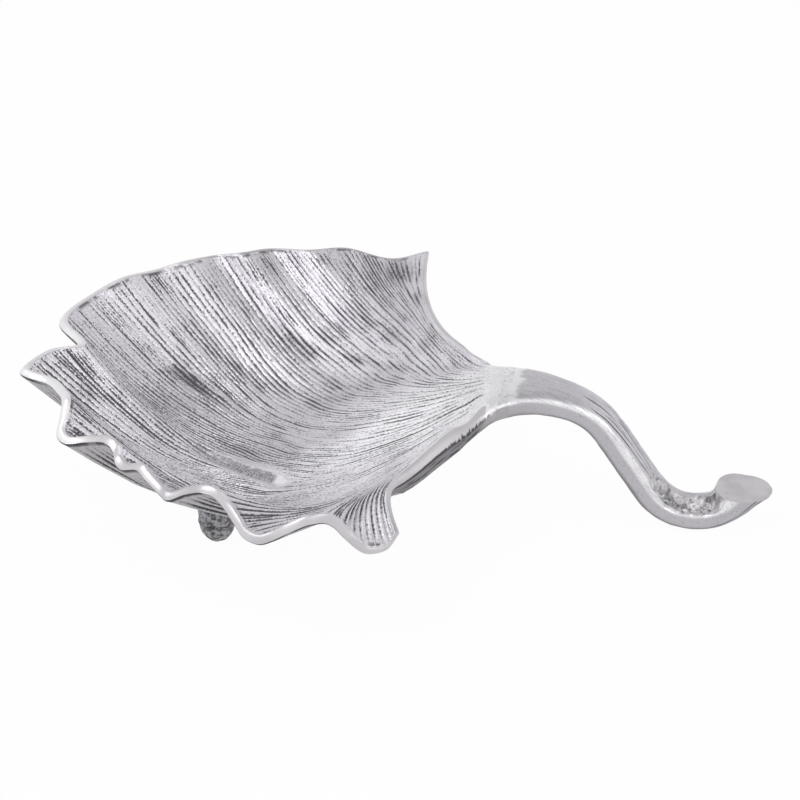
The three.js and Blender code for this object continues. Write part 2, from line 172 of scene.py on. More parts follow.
MM = 0.001
NECK_HEIGHT = 70.5        # top of the leaf at the neck, above the table
NECK_WIDTH = 33
NECK_THICKNESS = 11.5
NECK_BOXINESS = 4.5       # section of the neck: 2 is an ellipse, more is a box
NECK_STUB = 9             # straight length of the neck
WELD_HALF_WIDTH = 2.6
LEAF_WALL = 4             # casting wall over the bowl
RIM_WALL = 5
MARGIN_WALL = 6           # the side edges between the neck and the rim
MARGIN_BEAD = 6           # the near side edge is thicker still by this much
EDGE_SWELL = 8            # how near a side edge the wall starts to thicken
BEAD_SWELL = 50           # the same for the near side edge's bead
BEAD_END = 4              # the bead fades over the last 1 / BEAD_END of its length
NECK_SWELL = 4            # how near the neck the wall starts to thicken
BOWL_DEPTH = 54
BOWL_BACK = 1.45          # moves the deepest place of the middle vein from the neck
SIDE_BACK = 0.95          # the same for the veins along the side edges
BOWL_FLATNESS = 3.5       # keeps the floor broad across the leaf towards the rim
NECK_FLATNESS = 2.2       # the same at the neck
NECK_JOINT = tuple(
    (low + high) / 2 / MM for low, high in zip(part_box("neck_weld")[0][:2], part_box("neck_weld")[1][:2])
)

# Rim: distance out from the neck, distance across from its middle, height.
NEAR_RIM = [
    (34, -105.5, 55), (37.5, -115, 52.5), (45, -123.5, 54), (52, -124, 58.5),
    (57.5, -126.5, 67.5), (62.5, -131, 73.5),
    (70, -135, 74.5), (79, -137, 70.5), (85.5, -136.5, 66), (90.5, -137, 64),
    (97, -133.5, 64), (101.5, -127.5, 66), (106.5, -122.5, 70), (112, -120, 74.5),
    (118, -118, 75), (127, -114.5, 71), (135.5, -114, 67), (139, -112.5, 69),
    (145.5, -107.5, 72), (149, -104.5, 74), (159.5, -97.5, 69.5), (163, -94, 70.5),
    (164.5, -91, 74.5), (168.5, -87.5, 76), (181.5, -79, 70.5), (192, -77.5, 68),
    (196.5, -73.5, 69), (196.5, -67.5, 73), (197, -60, 78), (202, -50.5, 77),
    (211.5, -39, 75.5), (223.5, -33.5, 75), (228, -30, 75), (221.5, -11.5, 75),
    (210, 3.5, 72),
]
FAR_RIM = [
    (226.5, 26, 73), (220.5, 57, 72), (209, 72, 74.5), (196.5, 89.5, 71.5),
    (183.5, 97.5, 73.5), (172, 113.5, 70), (156, 113.5, 73), (144.5, 128, 69.5),
    (121.5, 121.5, 73.5), (104, 135.5, 69.5), (74.5, 117, 74), (56.5, 132.5, 72.5),
]


def smooth_line(corners, steps):
    """Points on a smooth curve through the corners, steps points to each span."""
    corners = np.array(corners, float)
    points = []
    for i in range(len(corners) - 1):
        here, after = corners[i], corners[i + 1]
        before = corners[i - 1] if i else 2 * here - after
        beyond = corners[i + 2] if i + 2 < len(corners) else 2 * after - here
        gaps = [np.sqrt(np.linalg.norm(b - a)) for a, b in ((before, here), (here, after), (after, beyond))]
        leave = (here - before) / gaps[0] - (after - before) / (gaps[0] + gaps[1]) + (after - here) / gaps[1]
        arrive = (after - here) / gaps[1] - (beyond - here) / (gaps[1] + gaps[2]) + (beyond - after) / gaps[2]
        leave, arrive = leave * gaps[1], arrive * gaps[1]
        for t in np.arange(steps) / steps:
            points.append(
                here + leave * t
                + (3 * (after - here) - 2 * leave - arrive) * t ** 2
                + (2 * (here - after) + leave + arrive) * t ** 3
            )
    points.append(corners[-1])
    return np.array(points)


# The rim in fine steps, with each point's share of its side: -1 at the near side tip, 0
# at the notch between the front lobes and 1 at the far side tip.
RIM_STEPS = 16
rim = smooth_line([(-out, across, height) for out, across, height in NEAR_RIM + FAR_RIM], RIM_STEPS)
rim_travel = np.append(0, np.cumsum(np.linalg.norm(np.diff(rim, axis=0), axis=1)))
notch_travel = rim_travel[(len(NEAR_RIM) - 1) * RIM_STEPS]
rim_share = np.where(
    rim_travel < notch_travel,
    rim_travel / notch_travel - 1,
    (rim_travel - notch_travel) / (rim_travel[-1] - notch_travel),
)

# The rim without its waves, which sets the broad shape of the bowl. Over the lobe that
# hangs at the near tip it is a straight line from the corner of the side edge.
CALM_REACH = 50           # length of rim each way over which the waves are evened out
TIP_CORNER = np.array([-45.5, -90.5, 62.5])
TIP_LOBE = 56             # length of rim on that lobe
TIP_TURN = 12             # how sharply the veins turn down over it
LOBE_REACH = 1.6          # how much of the lobe does so fully
RUFFLE_FADE = 2.6         # how fast the rim's waves die out towards the neck
calm_rim = np.empty_like(rim)
step_length = np.gradient(rim_travel)
for i, travel in enumerate(rim_travel):
    reach = min(CALM_REACH, travel, rim_travel[-1] - travel) + 0.3
    share = step_length * np.clip(1 - abs(rim_travel - travel) / reach, 0, None)
    calm_rim[i] = share @ rim / share.sum()
lobe_end = np.searchsorted(rim_travel, TIP_LOBE)
down_lobe = (rim_travel[:lobe_end] / rim_travel[lobe_end])[:, None]
calm_rim[:lobe_end] = TIP_CORNER * (1 - down_lobe) + calm_rim[lobe_end] * down_lobe

# The veins crowd towards the side edges, and the near ones bow into the bowl.
EDGE_CROWDING = 1.5
MARGIN_PULL = 3           # how closely the veins beside a side edge follow its bend
NEAR_MARGIN_BEND = (-32, -76)     # where the near side edge bends: along, across
FAR_MARGIN_BEND = (-53, 43)
VEIN_BOW = (81, -39)      # how far the near veins bow: out, across
BOW_EDGE = 0.7            # how soon they do so inside the near side edge
EVENING = (0.062, 0.071)  # across and along the leaf, where the wall's direction is evened out


def crowded(share):
    """Where a share of the rim lies across the neck, from -1 to 1."""
    return np.sign(share) * (1 - (1 - abs(share)) ** EDGE_CROWDING)


def leaf_top(share, s):
    """Points on the leaf's smooth top face. share runs across the leaf, s from neck to rim."""
    edge = np.stack([np.interp(share, rim_share, rim[:, k]) for k in range(3)], -1)
    calm = np.stack([np.interp(share, rim_share, calm_rim[:, k]) for k in range(3)], -1)
    across = crowded(share)
    side = abs(across)
    start = np.stack([
        np.full_like(across, -NECK_STUB), across * NECK_WIDTH / 2, np.full_like(across, NECK_HEIGHT)
    ], -1)
    bend = np.stack([
        *(np.where(across < 0, near, far) for near, far in zip(NEAR_MARGIN_BEND, FAR_MARGIN_BEND)),
        np.zeros_like(across),
    ], -1)
    on_lobe = np.clip(1 - (share + 1) * notch_travel / TIP_LOBE, 0, 1)
    on_lobe = on_lobe ** 2 * (3 - 2 * on_lobe)
    fade = RUFFLE_FADE + (TIP_TURN - RUFFLE_FADE) * np.minimum(1, LOBE_REACH * on_lobe)
    wave = (s ** fade)[..., None]
    end = calm * (1 - wave) + edge * wave
    pull = (side ** MARGIN_PULL)[..., None]
    middle = (start + end) / 2 * (1 - pull) + bend * pull
    inward = np.clip(-share, 0, 1)
    bow = inward ** 2 * (1 - inward) ** BOW_EDGE
    middle = middle - np.stack([VEIN_BOW[0] * bow, VEIN_BOW[1] * bow, 0 * bow], -1)
    t = s[..., None]
    place = (1 - t) ** 2 * start + 2 * t * (1 - t) * middle + t ** 2 * end
    depth = BOWL_DEPTH * (1 - side ** (NECK_FLATNESS + (BOWL_FLATNESS - NECK_FLATNESS) * s))
    deepest = BOWL_BACK - (BOWL_BACK - SIDE_BACK) * side ** 2
    place[..., 2] = NECK_HEIGHT + (end[..., 2] - NECK_HEIGHT) * s - depth * np.sin(np.pi * s ** deepest)
    return place


def leaf_up(share, s):
    """Direction of the leaf's wall at the same places, evened out over the ruffles."""
    left, right = np.clip(share - EVENING[0], -1, 1), np.clip(share + EVENING[0], -1, 1)
    inner, outer = np.clip(s - EVENING[1], 0, 1), np.clip(s + EVENING[1], 0, 1)
    up = np.cross(leaf_top(right, s) - leaf_top(left, s), leaf_top(share, outer) - leaf_top(share, inner))
    up /= np.linalg.norm(up, axis=-1, keepdims=True) + 1e-9
    level = ((1 - s) ** NECK_SWELL)[..., None]
    up = up * (1 - level) + np.array([0, 0, 1.0]) * level
    return up / np.linalg.norm(up, axis=-1, keepdims=True)


def leaf_wall(share, s):
    """Thickness of the casting at the same places."""
    across = crowded(share)
    edge = (MARGIN_WALL - LEAF_WALL) * abs(across) ** EDGE_SWELL * (1 - s)
    bead = MARGIN_BEAD * np.clip(-across, 0, 1) ** BEAD_SWELL * np.clip(BEAD_END * (1 - s), 0, 1)
    wall = LEAF_WALL + edge + bead + (RIM_WALL - LEAF_WALL) * s ** EDGE_SWELL
    return wall + (NECK_THICKNESS - wall) * (1 - s) ** NECK_SWELL


def eased(x, xs, table):
    """Smooth values between the rows of a table, without overshoot."""
    xs = np.array(xs, float)
    table = np.array(table, float)
    slope = np.diff(table, axis=0) / np.diff(xs).reshape((-1,) + (1,) * (table.ndim - 1))
    both = slope[:-1] * slope[1:]
    inner = np.where(both > 0, 2 * both / (slope[:-1] + slope[1:] + 1e-12), 0)
    tangent = np.concatenate([slope[:1], inner, slope[-1:]])
    k = np.clip(np.searchsorted(xs, x, side="right") - 1, 0, len(xs) - 2)
    width = xs[k + 1] - xs[k]
    t = (x - xs[k]) / width
    shape = (-1,) + (1,) * (table.ndim - 1)
    t, width = t.reshape(shape), width.reshape(shape)
    return (
        table[k] * (1 - t) ** 2 * (1 + 2 * t) + tangent[k] * width * t * (1 - t) ** 2
        + table[k + 1] * t ** 2 * (3 - 2 * t) - tangent[k + 1] * width * t ** 2 * (1 - t)
    )


# Where the veins run: each row is one vein from the neck to the rim, as its share across
# the leaf at the distances in VEIN_STATIONS. The far veins sweep over the bowl's floor.
VEIN_STATIONS = [0, 0.06, 0.12, 0.2, 0.3, 0.4, 0.5, 0.6, 0.72, 0.85, 1]
VEINS = {
    -1: [-1] * 11,
    -0.75: [-0.93, -0.92, -0.90, -0.86, -0.82, -0.79, -0.77, -0.76, -0.75, -0.75, -0.75],
    -0.5: [-0.88, -0.87, -0.85, -0.80, -0.73, -0.66, -0.60, -0.55, -0.51, -0.5, -0.5],
    -0.25: [-0.82, -0.80, -0.77, -0.71, -0.62, -0.54, -0.44, -0.35, -0.28, -0.25, -0.25],
    0: [-0.72, -0.70, -0.66, -0.59, -0.49, -0.38, -0.22, -0.09, -0.03, -0.005, 0],
    0.22: [-0.52, -0.50, -0.46, -0.39, -0.27, -0.10, 0.08, 0.17, 0.215, 0.22, 0.22],
    0.38: [-0.34, -0.32, -0.27, -0.17, -0.02, 0.15, 0.26, 0.31, 0.35, 0.375, 0.38],
    0.54: [-0.12, -0.09, -0.03, 0.14, 0.33, 0.42, 0.48, 0.51, 0.52, 0.53, 0.54],
    0.7: [0.10, 0.14, 0.27, 0.49, 0.64, 0.70, 0.73, 0.73, 0.72, 0.71, 0.70],
    0.86: [0.5, 0.54, 0.64, 0.78, 0.86, 0.89, 0.90, 0.90, 0.885, 0.87, 0.86],
    1: [1] * 11,
}
VEINS_A_SIDE = 160        # grooves on each side of the notch, counted at the rim
COLUMNS_A_VEIN = 4
VEIN_ROWS = 48
VEIN_WANDER = 0.0035      # how far a vein strays, as a share of its side

vein = np.linspace(-1, 1, 2 * VEINS_A_SIDE * COLUMNS_A_VEIN + 1)
rng = np.random.default_rng(4)


def slow_noise(rows, columns, knots_down, knots_across):
    """A gentle random field between -1 and 1, as columns by rows."""
    grid = rng.uniform(-1, 1, (knots_down + 1, knots_across + 1))
    down = eased(np.linspace(0, knots_down, rows), np.arange(knots_down + 1), grid)
    return eased(np.linspace(0, knots_across, columns), np.arange(knots_across + 1), down.T)


# The grid of the leaf: rows from the neck to the rim, the last few following the rim's
# rounding, and columns along the veins, the outer few following the side edges' rounding.
ROUNDING = np.array([0, 0.1, 0.35, 0.75, 1.2, 1.8])   # distances from an edge
SIDE_GAP = 0.7            # from the side edges' rounding to the next column
RIM_GAP = 0.9             # from the rim's rounding to the next row
RIM_ROUND = 1.7
MARGIN_ROUND = 2.2
BEAD_ROUND = 3.4

s_rows = np.linspace(0, 1, VEIN_ROWS + 1)
drift = eased(s_rows, VEIN_STATIONS, np.array(list(VEINS.values())).T)     # rows by table veins
share = eased(vein, np.array(list(VEINS)), drift.T)                        # columns by rows
wander = slow_noise(VEIN_ROWS + 1, len(vein), 9, 60) * VEIN_WANDER
share = share + wander * (1 - abs(share)) * s_rows


def room_at_side(sign):
    """How far in, as a share, the columns of a side edge's rounding lie, row by row."""
    inward = np.linspace(0, 0.8, 161)
    strip = leaf_top(*np.broadcast_arrays(sign * (1 - inward[:, None]), s_rows[None, :]))
    distance = np.cumsum(np.linalg.norm(np.diff(strip, axis=0), axis=-1), axis=0)
    distance = np.concatenate([np.zeros((1, len(s_rows))), distance])
    wanted = np.append(ROUNDING, ROUNDING[-1] + SIDE_GAP)
    return np.stack([np.interp(wanted, distance[:, j], inward) for j in range(len(s_rows))], 1)


near_room, far_room = room_at_side(-1), room_at_side(1)
share = -1 + near_room[-1] + (share + 1) / 2 * (2 - near_room[-1] - far_room[-1])
share = np.concatenate([-1 + near_room[:-1], share, (1 - far_room[:-1])[::-1]])
lane = np.concatenate([np.full(len(ROUNDING), -1.0), vein, np.full(len(ROUNDING), 1.0)])

# The rows near the rim lie at fixed distances from it.
one = np.ones_like(share[:, -1])
per_s = np.linalg.norm(leaf_top(share[:, -1], one) - leaf_top(share[:, -1], one * 0.99), axis=-1) / 0.01
stop = 1 - (ROUNDING[-1] + RIM_GAP) / per_s
s_inner = s_rows[None, :] * stop[:, None]
s_edge = 1 - ROUNDING[::-1][None, :] / per_s[:, None]
s = np.concatenate([s_inner, s_edge], axis=1)
share = np.array([np.interp(s[i], s_rows, share[i]) for i in range(len(share))])
columns, rows = s.shape

top = leaf_top(share, s)
up = leaf_up(share, s)
wall = leaf_wall(share, s)


def span(a, b):
    return np.linalg.norm(a - b, axis=-1)


def rounded(distance, radius, fullness=2.6):
    """How full the metal is at a distance from a rounded edge, from 0 to 1."""
    inside = np.clip(distance / radius, 0, 1)
    return (1 - (1 - inside) ** fullness) ** (1 / fullness)


def step_up(value, low, high):
    """0 below low, 1 above high and smooth between them."""
    t = np.clip((value - low) / (high - low), 0, 1)
    return t * t * (3 - 2 * t)


def stretch(value, start, end):
    """1 along a stretch, smooth over the pair of values where it starts and where it ends."""
    return step_up(value, *start) * (1 - step_up(value, *end))


# Distances from the rim, the side edges and the neck, and the rounding that they give.
to_rim = (1 - s) * per_s[:, None]
to_near = np.cumsum(np.concatenate([np.zeros((1, rows)), span(top[1:], top[:-1])]), axis=0)
to_far = to_near[-1] - to_near
to_side = np.minimum(to_near, to_far)
to_neck = -top[..., 0] - NECK_STUB
near_neck = 1 - step_up(s, 0, 0.26)
neck_across = np.clip(abs(top[..., 1]) / np.maximum(abs(top[:1, :, 1]), abs(top[-1:, :, 1])), 0, 1)
neck_fill = (1 - neck_across ** NECK_BOXINESS) ** (1 / NECK_BOXINESS)
side_fill = rounded(to_near, BEAD_ROUND, 2.0) * rounded(to_far, MARGIN_ROUND)
side_fill = side_fill * (1 - near_neck) + neck_fill * near_neck
fill = side_fill * (1 - (1 - rounded(to_rim, RIM_ROUND)) * (1 - near_neck))

# Vein grooves. New grooves start wherever the veins have spread far enough apart, so
# their pitch stays about the same from the neck to the rim, as on the real casting.
GROOVE_DEPTH = 0.55
GROOVE_HALF_WIDTH = 0.30  # of the pitch
CLOSEST_PITCH = 1.75
HALVINGS = 6              # every second groove ends, this many times over, towards the neck

between = slice(len(ROUNDING), -len(ROUNDING))
spread = np.empty_like(s)
spread[between] = np.gradient(to_near[between], axis=0) / np.gradient(lane[between])[:, None]
spread[:len(ROUNDING)] = spread[len(ROUNDING)]
spread[-len(ROUNDING):] = spread[-len(ROUNDING) - 1]

groove = np.zeros_like(s)
for halving in range(HALVINGS):
    count = VEINS_A_SIDE // 2 ** halving
    position = lane[:, None] * count
    index = 2 * np.floor(position / 2) + 1
    if halving == HALVINGS - 1:
        index = np.round(position)
    which = (index + 2 * VEINS_A_SIDE).astype(int)
    start = rng.uniform(0.8, 1.25, 4 * VEINS_A_SIDE)[which]
    strength = rng.uniform(0.6, 1.0, 4 * VEINS_A_SIDE)[which]
    pitch = spread / count
    present = np.clip((pitch / (CLOSEST_PITCH * start) - 0.92) / 0.16, 0, 1)
    distance = abs(position - index) * pitch
    half_width = GROOVE_HALF_WIDTH * np.clip(pitch, 1.2, 2.6)
    groove = np.maximum(groove, strength * present * np.exp(-(distance / half_width) ** 2))

# They are cut unevenly, deeper on the near half, and stop short of the edges.
uneven = 0.66 + 0.26 * slow_noise(rows, columns, 22, 160)
uneven *= 1 + 0.5 * step_up(-share, -0.2, 0.0) * step_up(s, 0.45, 0.6)
groove *= uneven * np.clip(to_rim / 2.2 - 0.6, 0, 1)
groove *= step_up(to_near, 3.0, 5.0) * step_up(to_far, 2.0, 4.0)
groove *= step_up(to_neck, -5, 6)

# The lobe at the near tip has a few broad flutes in place of the fine grooves.
TIP_FLUTE_PITCH = 4.1
TIP_FLUTE_DEPTH = 1.3
rim_out = (lane[:, None] + 1) * notch_travel
TIP_STRETCH = ((2, 7), (34, 42))  # of the rim, out from the near tip
on_tip = stretch(rim_out, *TIP_STRETCH) * step_up(s, 0.45, 0.75)
tip_wave = 0.5 - 0.5 * np.cos(2 * np.pi * rim_out / TIP_FLUTE_PITCH)
tip_flute = on_tip * tip_wave ** 2 * np.clip(to_rim / 3 - 0.5, 0, 1)
groove *= 1 - 0.8 * on_tip

# Broad flutes that follow the veins and grow towards the rim: place, half width, depth.
FLUTES = [
    (0.93, 0.030, 1.1), (0.84, 0.028, -0.8), (0.77, 0.025, 0.9), (0.68, 0.035, 1.4), (0.60, 0.025, -0.9),
    (0.53, 0.022, 1.0), (0.46, 0.030, -0.8), (0.39, 0.025, 0.8), (0.31, 0.030, -0.9),
    (0.235, 0.012, 1.3), (0.205, 0.010, 1.0), (0.13, 0.030, -1.0), (0.05, 0.025, 0.6),
    (-0.04, 0.022, 1.3), (-0.1, 0.015, -0.6),
]
FLUTE_DEPTH = 0.36        # of a flute whose depth is given as 1
flute = np.zeros_like(s)
for at, half, depth in FLUTES:
    flute += FLUTE_DEPTH * depth * np.exp(-((lane[:, None] - at) / half) ** 2)
flute *= np.clip((s - 0.35) / 0.35, 0, 1) ** 1.5 * np.clip(to_rim / 12, 0, 1) * np.clip(to_side / 8, 0, 1)

# A short trough crosses the veins behind the notch, as if a thumb had been drawn through
# the sand: its places as share and distance from the neck.
TROUGH = np.array([
    (0.02, 0.75), (-0.03, 0.70), (-0.07, 0.633), (-0.10, 0.592), (-0.157, 0.558), (-0.21, 0.533),
    (-0.285, 0.505),
])
TROUGH_HALF_WIDTH = 3.0
TROUGH_DEPTH = 2.1
LIP_HALF_WIDTH = 2.2      # of the raised lip on both sides of it
LIP_HEIGHT = 0.6
trough_line = leaf_top(TROUGH[:, 0], TROUGH[:, 1])
to_trough = np.full_like(s, 1e3)
side_of_trough = np.ones_like(s)
along_trough = np.zeros_like(s)
length = 0
for a, b in zip(trough_line[:-1], trough_line[1:]):
    reach = np.clip(((top - a) @ (b - a)) / ((b - a) @ (b - a)), 0, 1)
    away = span(top - a, reach[..., None] * (b - a))
    closer = away < to_trough
    along_trough[closer] = (length + reach * span(b, a))[closer]
    turned = (b - a)[0] * (top - a)[..., 1] - (b - a)[1] * (top - a)[..., 0]
    side_of_trough[closer] = np.sign(turned)[closer]
    to_trough = np.minimum(to_trough, away)
    length += span(b, a)
in_trough = np.exp(-(to_trough / TROUGH_HALF_WIDTH) ** 2) * step_up(along_trough, 0, length * 0.4)
on_lip = np.exp(-((to_trough - 2 * TROUGH_HALF_WIDTH) / LIP_HALF_WIDTH) ** 2)
on_lip *= step_up(along_trough, 0, length * 0.5)
groove *= 1 - 0.9 * step_up(-to_trough, -7, -4) * step_up(along_trough, length * 0.2, length * 0.4)

relief = groove * GROOVE_DEPTH + flute + TIP_FLUTE_DEPTH * tip_flute
relief += TROUGH_DEPTH * in_trough - LIP_HEIGHT * on_lip
half_wall = (wall / 2)[..., None]
core = top - up * half_wall
top_skin = core + (top - up * relief[..., None] - core) * fill[..., None]

# Underneath, ribs follow the veins at a wider pitch, and the near side edge has a few
# file marks along its lower half.
RIBS_A_SIDE = 72
RIB_DEPTH = 1.0
RIB_HALF_WIDTH = 0.32     # of the pitch
EDGE_FILE_MARKS = ((1, 1.0), (3, 0.55), (5, 0.9), (7, 0.6))     # column, depth
rib_pitch = spread / RIBS_A_SIDE
from_rib = abs(lane[:, None] * RIBS_A_SIDE - np.round(lane[:, None] * RIBS_A_SIDE)) * rib_pitch
under_groove = np.exp(-(from_rib / (RIB_HALF_WIDTH * np.maximum(rib_pitch, 1.5))) ** 2)
under_groove *= step_up(rib_pitch, 1.2, 2.0) * (0.75 + 0.25 * slow_noise(rows, columns, 14, 90))
under_groove *= step_up(to_rim, 1.2, 3) * step_up(to_side, 3, 6) * step_up(to_neck, 6, 20)
for column, strength in EDGE_FILE_MARKS:
    under_groove[column] = strength * step_up(to_neck[column], -4, 8)
under_skin = core - up * (half_wall - (RIB_DEPTH * under_groove)[..., None]) * fill[..., None]

# The near side of the neck swells into the thick side edge: distance from the joint and
# how far the metal stands out there.
SWELL_ON_LEAF = [
    (-56, 0), (-44, 2.4), (-37, 3.9), (-33, 4.1), (-29, 4.2), (-26, 4.4), (-22.7, 5.2), (-19.7, 6.6),
    (-16.3, 9.0), (-13.2, 10.7), (-9, 12.6),
]
SWELL_ON_NECK = [
    (-9, 12.6), (-7.5, 10.4), (-5.5, 7.8), (-2.6, 5.0), (0, 3.2), (2.6, 2.0), (5, 1.3), (8, 0.8), (16, 0),
]
SWELL_DROP = 0.3          # how much of that it also drops


def swell(points, near):
    """Points moved out by the swell of the neck's near side; near is 1 on its edge."""
    moved = points.copy()
    x = points[..., 0]
    on_leaf, on_neck = (
        eased(np.clip(x, table[0][0], table[-1][0]).ravel(), *zip(*table)).reshape(x.shape)
        for table in (SWELL_ON_LEAF, SWELL_ON_NECK)
    )
    out = np.where(x < -NECK_STUB, on_leaf, on_neck) * np.clip(near, 0, 1) ** 2
    moved[..., 1] -= out
    moved[..., 2] -= SWELL_DROP * out
    return moved


# The neck, from the leaf down to the chamfer for the weld.
CHAMFER = WELD_HALF_WIDTH - 0.2   # depth of the weld's groove
NECK_ROWS = ((-0.15, CHAMFER), (-WELD_HALF_WIDTH, 0), (-5.5, 0))     # along, how far in
NECK_MIDDLE = NECK_HEIGHT - NECK_THICKNESS / 2
neck_side = np.clip(top[:, 0, 1] / (NECK_WIDTH / 2), -1, 1)
neck_round = (1 - abs(neck_side) ** NECK_BOXINESS) ** (1 / NECK_BOXINESS)
neck_top, neck_under = (np.stack([
    np.stack([
        np.full(columns, x),
        neck_side * (NECK_WIDTH / 2 - inset),
        NECK_MIDDLE + way * neck_round * (NECK_THICKNESS / 2 - inset),
    ], -1) for x, inset in NECK_ROWS
], 1) for way in (1, -1))
nearness = np.concatenate([
    np.repeat(-neck_side[:, None], len(NECK_ROWS), axis=1), crowded(np.clip(-share, 0, 1))], axis=1)
top_skin = swell(np.concatenate([neck_top, top_skin], axis=1), nearness)
under_skin = swell(np.concatenate([neck_under, under_skin], axis=1), nearness)
all_rows = rows + len(NECK_ROWS)

# The skin: every column and row on top, fewer rows underneath, both closed at the edges.
under_rows = list(range(0, 5)) + list(range(8, all_rows - len(ROUNDING), 4))
under_rows += [j for j in range(all_rows - len(ROUNDING), all_rows - 1) if j not in under_rows]
upper_id = np.arange(columns * all_rows).reshape(columns, all_rows)
lower_id = np.full((columns, all_rows), -1)
lower_id[:, -1] = upper_id[:, -1]
lower_id[0], lower_id[-1] = upper_id[0], upper_id[-1]
lower_places = np.array([(i, j) for i in range(1, columns - 1) for j in under_rows])
lower_i, lower_j = lower_places.T
lower_id[lower_i, lower_j] = upper_id.size + np.arange(len(lower_places))
faces = []
for i in range(columns - 1):
    for j in range(all_rows - 1):
        faces.append((upper_id[i, j], upper_id[i + 1, j], upper_id[i + 1, j + 1], upper_id[i, j + 1]))
ladder = under_rows + [all_rows - 1]
for i in range(columns - 1):
    for a, b in zip(ladder[:-1], ladder[1:]):
        left = [lower_id[i, a], lower_id[i, b]]
        right = [lower_id[i + 1, b], lower_id[i + 1, a]]
        if i == 0:
            left = list(upper_id[0, a:b + 1])
        if i == columns - 2:
            right = list(upper_id[-1, a:b + 1])[::-1]
        faces.append(left + right)
    cap = [upper_id[i, 0], lower_id[i, 0], lower_id[i + 1, 0], upper_id[i + 1, 0]]
    faces.append([c for k, c in enumerate(cap) if c != cap[k - 1]])


def placed(points):
    """From millimetres with the neck's joint at nought to the frame's place in metres."""
    return (points + np.array([*NECK_JOINT, 0])) * MM


def skin(name, points, faces):
    """A piece of that name from its points and the corners of its faces."""
    mesh = bpy.data.meshes.new(name)
    mesh.from_pydata([tuple(p) for p in points], [], [tuple(int(v) for v in f) for f in faces])
    piece = bpy.data.objects.new(name, mesh)
    bpy.context.scene.collection.objects.link(piece)
    return piece


def point_values(piece, name, values):
    """Stores one number for each point of a piece, for its finish to read."""
    layer = piece.data.attributes.new(name, "FLOAT", "POINT")
    layer.data.foreach_set("value", np.asarray(values, np.float32).ravel())


def take(piece):
    """Makes a piece the only one selected."""
    bpy.ops.object.select_all(action="DESELECT")
    bpy.context.view_layer.objects.active = piece
    piece.select_set(True)


def face_outward(piece):
    take(piece)
    bpy.ops.object.mode_set(mode="EDIT")
    bpy.ops.mesh.select_all(action="SELECT")
    bpy.ops.mesh.normals_make_consistent(inside=False)
    bpy.ops.object.mode_set(mode="OBJECT")


leaf = skin("leaf", placed(np.concatenate([top_skin.reshape(-1, 3), under_skin[lower_i, lower_j]])), faces)
leaf.data.validate()
for polygon in leaf.data.polygons:
    polygon.use_smooth = True


def padded(field, value):
    """A field of the leaf with that value on the neck's rows before it."""
    return np.concatenate([np.full((columns, len(NECK_ROWS)), float(value)), field], axis=1)


# Where the finish changes: darker patches, how light the metal is, rubbed bright and with a
# painted highlight towards the neck and on the near tip lobe, and the polished band along the
# rim and the side edges. A patch has its share across, its distance from the neck, half its
# size both ways and its strength.
DARKER_PATCHES = [
    (0.70, 0.93, 0.03, 0.08, 0.7), (0.34, 0.95, 0.03, 0.06, 0.6), (0.30, 0.50, 0.03, 0.05, 0.5),
    (-0.055, 0.84, 0.035, 0.08, 1.2), (0.225, 0.77, 0.022, 0.11, 1.0), (0.64, 0.83, 0.030, 0.12, 0.9),
    (0.71, 0.74, 0.030, 0.10, 0.7), (0.91, 0.86, 0.040, 0.10, 0.9), (0.74, 0.57, 0.030, 0.07, 0.7),
    (0.50, 0.72, 0.025, 0.10, 0.8), (0.34, 0.74, 0.020, 0.12, 0.4), (0.97, 0.74, 0.030, 0.10, 0.5),
    (0.44, 0.55, 0.040, 0.10, 0.4), (0.58, 0.62, 0.020, 0.12, 0.5), (0.82, 0.80, 0.025, 0.12, 0.5),
    (0.10, 0.72, 0.050, 0.10, 0.3), (-0.35, 0.60, 0.150, 0.05, 0.3), (0.80, 0.40, 0.060, 0.06, 0.4),
]
patch_darkening = np.zeros_like(s)
for across, out, half_across, half_out, strength in DARKER_PATCHES:
    patch = np.exp(-((share - across) / half_across) ** 2 - ((s - out) / half_out) ** 2)
    patch_darkening = np.maximum(patch_darkening, strength * patch)
# Lighter metal, partly rubbed bright and partly a painted highlight: towards the neck, over the near tip lobe
# and in one patch on the near half.
rubbed_and_highlit = 1 - step_up(s, 0.25, 0.75)
rubbed_and_highlit = np.maximum(rubbed_and_highlit, step_up(-share, 0.55, 0.95) * (1 - 0.8 * step_up(s, 0.5, 0.75)))
rubbed_and_highlit = np.maximum(rubbed_and_highlit, 0.7 * np.exp(-((share + 0.15) / 0.16) ** 2 - ((s - 0.75) / 0.16) ** 2))
band = 1 - step_up(to_rim, 1.2, 2.4) * step_up(to_far, 1.4, 2.6) * step_up(to_near, 2.6, 4.2)
under_band = 1 - step_up(to_rim, 0.15, 0.55) * step_up(to_far, 1.4, 2.6)

